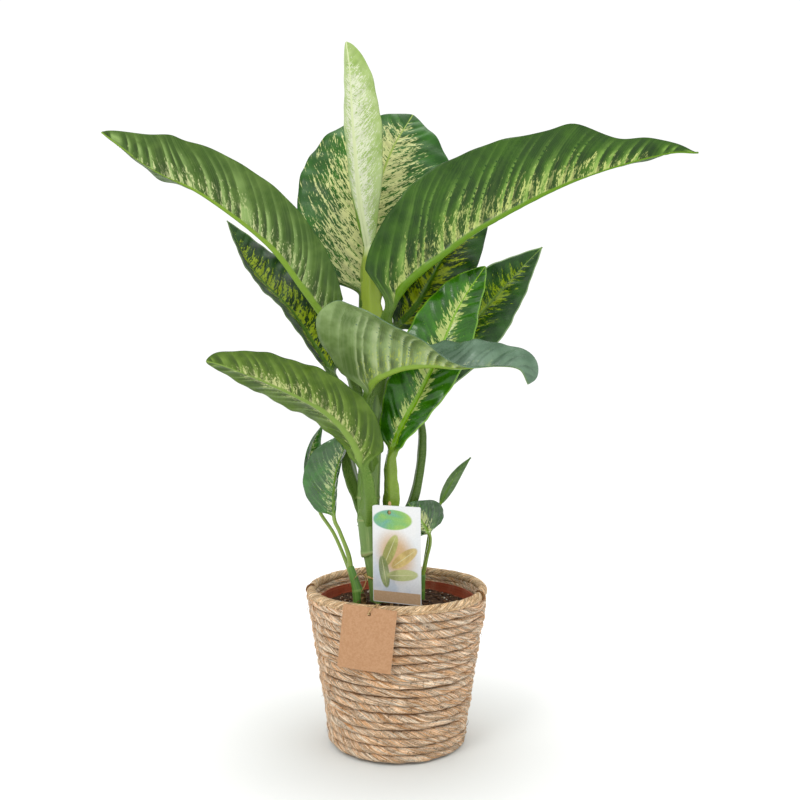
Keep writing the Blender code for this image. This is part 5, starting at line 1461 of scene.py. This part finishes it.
def card_print():
    """The card's generic print, drawn in its own coordinates."""
    material, tree, shader = new_finish("card_print", 0.25, 0.4)
    board, across, upward, _ = written(tree, "board")
    tall = times(tree, upward, CARD_SIZE[1] / CARD_SIZE[0])
    clouds = grain(tree, stretched(tree, board, (3.0, 4.0, 1.0)), 1.0, 3.0, 0.5)
    colour = blend(tree, fade(tree, upward, -0.36, 0.30), paint(206, 218, 230), paint(246, 249, 250))
    colour = blend(tree, fade(tree, clouds, 0.40, 0.62, 0.0, 0.6), colour, paint(252, 252, 250))
    glow = ellipse(tree, across, tall, (-0.02, -0.02), (0.50, 0.62), 0.4)
    colour = blend(tree, fade(tree, glow, 0.30, 1.0, 0.90, 0.0), colour, paint(214, 170, 104))
    for centre, radii, turn, tone in (((-0.14, 0.06), (0.36, 0.125), 1.15, (142, 150, 56)),
                                      ((0.16, -0.06), (0.34, 0.120), 0.62, (186, 160, 76)),
                                      ((-0.26, -0.34), (0.32, 0.110), 1.75, (112, 130, 54)),
                                      ((0.12, -0.38), (0.34, 0.115), 0.10, (150, 160, 84))):
        blade_mask = fade(tree, ellipse(tree, across, tall, centre, radii, turn), 0.86, 1.02, 0.9, 0.0)
        lighter = paint(*(min(255, part + 40) for part in tone))
        shade = blend(tree, fade(tree, clouds, 0.42, 0.6), paint(*tone), lighter)
        colour = blend(tree, blade_mask, colour, shade)
        rib = ellipse(tree, across, tall, centre, (radii[0] * 0.94, radii[1] * 0.07), turn)
        rib = fade(tree, rib, 0.7, 1.1, 0.7, 0.0)
        colour = blend(tree, rib, colour, paint(228, 226, 176))
    oval = ellipse(tree, across, upward, (-0.08, 0.355), (0.42, 0.108))
    swirl = grain(tree, stretched(tree, board, (2.4, 7.0, 1.0)), 1.0, 2.0, 0.5, 0.8)
    green = colour_steps(tree, plus(tree, times(tree, across, 0.7), times(tree, swirl, 0.9)),
                         [(0.12, paint(92, 172, 158)), (0.40, paint(118, 190, 92)),
                          (0.62, paint(160, 204, 72)), (0.85, paint(206, 214, 116))])
    colour = blend(tree, fade(tree, oval, 0.90, 1.02, 0.95, 0.0), colour, green)
    colour = blend(tree, fade(tree, upward, -0.385, -0.380, 1.0, 0.0), colour, paint(206, 174, 138))
    # a pale band round the card's edge: partly a white border, partly painted shine of the laminated edge
    edge = sums(tree, "MAXIMUM", fade(tree, sums(tree, "ABSOLUTE", across), 0.485, 0.490),
                fade(tree, sums(tree, "ABSOLUTE", upward), 0.4925, 0.4950))
    colour = blend(tree, edge, colour, paint(244, 247, 246))
    tree.links.new(colour, shader.inputs["Base Color"])
    film = grain(tree, stretched(tree, board, (30.0, 60.0, 1.0)), 1.0, 2.0)
    tree.links.new(fade(tree, film, 0.3, 0.7, 0.20, 0.32), shader.inputs["Roughness"])
    relief(tree, shader, film, 0.00005, 0.4)
    shader.inputs["Coat Weight"].default_value = 0.3
    return material


card_turned = Matrix.Rotation(CARD_TURN, 4, "Z") @ Matrix.Rotation(CARD_ROLL, 4, "Y")
card_placing = Matrix.Translation(CARD_CENTRE) @ card_turned
punched_board("laminated_card", CARD_SIZE, CARD_THICKNESS, 0.0012, CARD_HOLE, CARD_HOLE_RADIUS, card_placing,
              card_print(), ("care_card",))

# %% [markdown]
# ## Bamboo stick
# A split bamboo stick is not a dowel: it keeps two or three knots, its fibres run lengthwise and its
# end is cut to a blunt point. It is a swept stem with small swellings and its own straw finish.

# %% Bamboo stick
bamboo = stem_finish("split_bamboo", paint(160, 120, 76), paint(202, 164, 112), paint(226, 196, 146),
                     paint(132, 96, 60))
stick_points = [(*(np.array(STICK[0]) * (1 - share) + np.array(STICK[1]) * share), STICK_RADIUS)
                for share in (0.0, 0.25, 0.5, 0.75, 1.0)]
grow_stem("bamboo_stick", stick_points, bamboo, ("card_stick",), (0.158, 0.206, 0.247), around=16,
          ridge=0.05, step=0.0010, seed=8, taper=0.0022)

# %% [markdown]
# ## Kraft tag
# A plain square of brown kraft board, with the pressed fibres and darker specks of recycled paper.
# Its cut edges are a little lighter. There is nothing printed on it.

# %% Kraft tag
kraft, tree, shader = new_finish("kraft_board", 0.85, 0.2)
board, across, _, _ = written(tree, "board")
pulp = grain(tree, stretched(tree, board, (26.0, 30.0, 1.0)), 1.0, 5.0, 0.7)
hair = grain(tree, stretched(tree, board, (150.0, 24.0, 1.0)), 1.0, 3.0, 0.6, 1.5)
cross_hair = grain(tree, stretched(tree, board, (22.0, 160.0, 1.0), (4.0, 9.0, 0.0)), 1.0, 3.0, 0.6, 1.5)
brown = blend(tree, fade(tree, pulp, 0.35, 0.65), paint(196, 148, 108), paint(210, 164, 124))
brown = blend(tree, fade(tree, hair, 0.62, 0.74, 0.0, 0.45), brown, paint(228, 190, 152))
brown = blend(tree, fade(tree, cross_hair, 0.64, 0.76, 0.0, 0.45), brown, paint(168, 120, 84))
cut_edge = fade(tree, sums(tree, "ABSOLUTE", across), 0.494, 0.500, 0.0, 0.5)
brown = blend(tree, cut_edge, brown, paint(226, 192, 158))
tree.links.new(brown, shader.inputs["Base Color"])
relief(tree, shader, plus(tree, pulp, hair), 0.00012, 0.7)


def tag_placing():
    """The tag hangs against the rim and leans in a little towards the wall below it."""
    spot = Matrix.Rotation(TAG_TURN, 4, "Z") @ Vector((0.0, -TAG_RADIUS, TAG_Z))
    turned_to = Matrix.Rotation(TAG_FACING, 4, "Z") @ Matrix.Rotation(TAG_LEAN, 4, "X")
    return Matrix.Translation(spot) @ turned_to @ Matrix.Rotation(TAG_ROLL, 4, "Y")


punched_board("kraft_square", TAG_SIZE, TAG_THICKNESS, 0.0005, TAG_HOLE, TAG_HOLE_RADIUS, tag_placing(),
              kraft, ("kraft_tag",))

# %% [markdown]
# ## Twine and raffia
# The tag hangs on thin jute twine that goes through its hole and over the rim, and a strand of
# raffia ties the card's stick to the cane. Both are held all the way, so they are shaped here: the
# twine as a two-ply twist along the loop, the raffia as a flat crumpled ribbon with loose ends.

# %% Twine and raffia finishes
twine_grass = grass_finish("jute_twine", paint(232, 208, 164), paint(212, 180, 130), paint(188, 150, 100),
                           paint(150, 112, 70), paint(96, 68, 40), paint(196, 150, 98), 0.0001)
raffia_grass = grass_finish("raffia_strand", paint(230, 206, 150), paint(206, 176, 116), paint(178, 144, 90),
                            paint(140, 106, 64), paint(90, 66, 38), paint(186, 140, 84), 0.0001)


def swept_cord(name, line, radius, plies, turn_length, finish, stands_for, flat=1.0, closed=False,
               around=12, step=0.0005, seed=0):
    """A twisted cord or a crumpled ribbon along a line of points."""
    line = smooth_line(list(line) + ([line[0]] if closed else []), 8)
    count = max(8, int(lengths(line)[-1] / step))
    line = along(line, np.linspace(0.0, 1.0, count + 1 if closed else count))
    line = line[:-1] if closed else line
    runs = lengths(line)
    ahead = np.roll(line, -1, axis=0) - np.roll(line, 1, axis=0) if closed else np.gradient(line, axis=0)
    across = unit(np.cross(unit(ahead[0]), (0.31, 0.17, 0.93)))
    dice = random.Random(seed)
    phase = dice.uniform(0, math.tau)
    points, strand, ply = [], [], []
    for centre, forward, run in zip(line, ahead, runs):
        forward = unit(forward)
        across = unit(across - forward * across.dot(forward))
        other = np.cross(forward, across)
        twist = math.tau * run / turn_length + 0.3 * math.sin(run * 240 + phase)
        for spot in range(around):
            angle = math.tau * spot / around
            lay = angle - twist
            valley = (1.0 - abs(math.sin(lay * plies / 2))) if plies else 0.0
            reach = radius * (1.0 - 0.28 * valley) * (1.0 + 0.06 * math.sin(run * 900 + 2 * angle + phase))
            points.append(centre + reach * (across * math.cos(angle) + other * math.sin(angle) * flat))
            # the valley between the plies carries painted shade in the grass finish
            strand.append((run * 3.0, lay % math.pi, valley))
            ply.append((math.floor(lay / math.pi) % 2 * 3.7, 0.0, 0.0))
    faces = ring_faces(len(line), around, closed_run=closed)
    if not closed:
        last = (len(line) - 1) * around
        faces += [tuple(range(around))[::-1], tuple(range(last, last + around))]
    return make_piece(name, points, faces, [finish], stands_for, {"strand": strand, "ply": ply})


# %% [markdown]
# ## The tag's twine
# The twine goes through the tag's hole, up over the rim and down behind it, where it is tucked in. Its
# line is worked out from the hole and the rim's centre circle, so that it bends round the roll.

# %% The tag's twine
def string_line():
    """A twine loop: through the tag's hole, up its face, over the rim, and back down behind the tag."""
    hole = tag_placing() @ Vector((TAG_HOLE[0], 0.0, TAG_HOLE[1]))
    away = Vector((hole.x, hole.y, 0.0)).normalized()
    right = Vector((-away.y, away.x, 0.0))
    side = right * STRING_SPREAD
    slant = right * STRING_SLANT
    rise = Vector((0.0, 0.0, 1.0))
    face = away * (TAG_THICKNESS / 2 + STRING_RADIUS + 2 * GAP)
    over = RIM_ROLL + STRING_RADIUS + 2 * GAP
    centre = away * RIM_RADIUS + rise * RIM_Z + slant
    tucked = centre - away * over - rise * STRING_TUCK

    def round_rim(degrees):
        """The spot where the twine lies on the rim, at this angle round the roll."""
        turn = math.radians(degrees)
        return centre + over * (away * math.cos(turn) + rise * math.sin(turn))

    front = [hole + face, hole + face + rise * 0.0042 + slant * 0.45,
             hole + face + rise * 0.0085 + slant * 0.85]
    up = front + [round_rim(angle) for angle in (60, 80, 105, 130, 155, 180)] + [tucked]
    back = [round_rim(angle) for angle in (180, 155, 130, 105, 80, 55, 30)]
    back += [round_rim(0) - slant * 0.4, hole - face]
    return [point - side for point in up] + [point + side for point in [tucked] + back]


swept_cord("tag_twine", string_line(), STRING_RADIUS, 2, 0.0042, twine_grass, ("tag_string",),
           closed=True, step=0.00045, seed=41)


# %% [markdown]
# ## The raffia tie
# A gardener winds the raffia round cane and stick and leaves the ends hanging. The first turn follows
# the frame's tie. A second turn and three short ends are added, because a single neat ring looks like
# a rubber band.

# %% The raffia tie
def raffia_line(radius, lift=0.0):
    """One turn round the cane and the stick."""
    share = (TIE_Z - CANE[2][2]) / (CANE[3][2] - CANE[2][2])
    cane = Vector(CANE[2][:3]).lerp(Vector(CANE[3][:3]), share)
    post = Vector(STICK[0]).lerp(Vector(STICK[1]), (TIE_Z - STICK[0][2]) / (STICK[1][2] - STICK[0][2]))
    spread = (post - cane).normalized()
    side = Vector((-spread.y, spread.x, 0.0))
    around_cane = CANE[3][3] + radius + GAP
    around_post = STICK_RADIUS + radius + GAP
    raised = Vector((0, 0, lift))
    loop = []
    for angle in range(90, 271, 20):
        turn = math.radians(angle)
        loop.append(cane + around_cane * (spread * math.cos(turn) + side * math.sin(turn)) + raised)
    for angle in range(-80, 81, 32):
        turn = math.radians(angle)
        loop.append(post + around_post * (spread * math.cos(turn) + side * math.sin(turn)) - raised)
    return loop


swept_cord("raffia_turn", raffia_line(TIE_RADIUS), TIE_RADIUS, 0, 0.012, raffia_grass, ("raffia_tie",),
           flat=0.55, closed=True, around=10, seed=42)
swept_cord("raffia_second_turn", raffia_line(TIE_RADIUS * 1.6, 0.0014), TIE_RADIUS, 0, 0.015, raffia_grass,
           (), flat=0.5, closed=True, around=10, seed=43)
KNOT_AT = Vector(raffia_line(TIE_RADIUS * 2.2)[8])
LOOSE_ENDS = [
    [(0, 0, 0), (-0.003, -0.003, 0.004), (-0.008, -0.005, 0.003), (-0.012, -0.005, -0.002)],
    [(0, 0, 0), (0.001, -0.004, -0.003), (-0.001, -0.006, -0.009), (-0.004, -0.006, -0.015)],
    [(-0.001, 0, -0.002), (0.002, -0.002, 0.001), (0, -0.0025, 0.003), (-0.002, -0.001, 0.001)],
]
for number, ends in enumerate(LOOSE_ENDS):
    swept_cord(f"raffia_end_{number}", [KNOT_AT + Vector(end) for end in ends], TIE_RADIUS * 0.9, 0, 0.01,
               raffia_grass, (), flat=0.4, around=8, seed=44 + number)
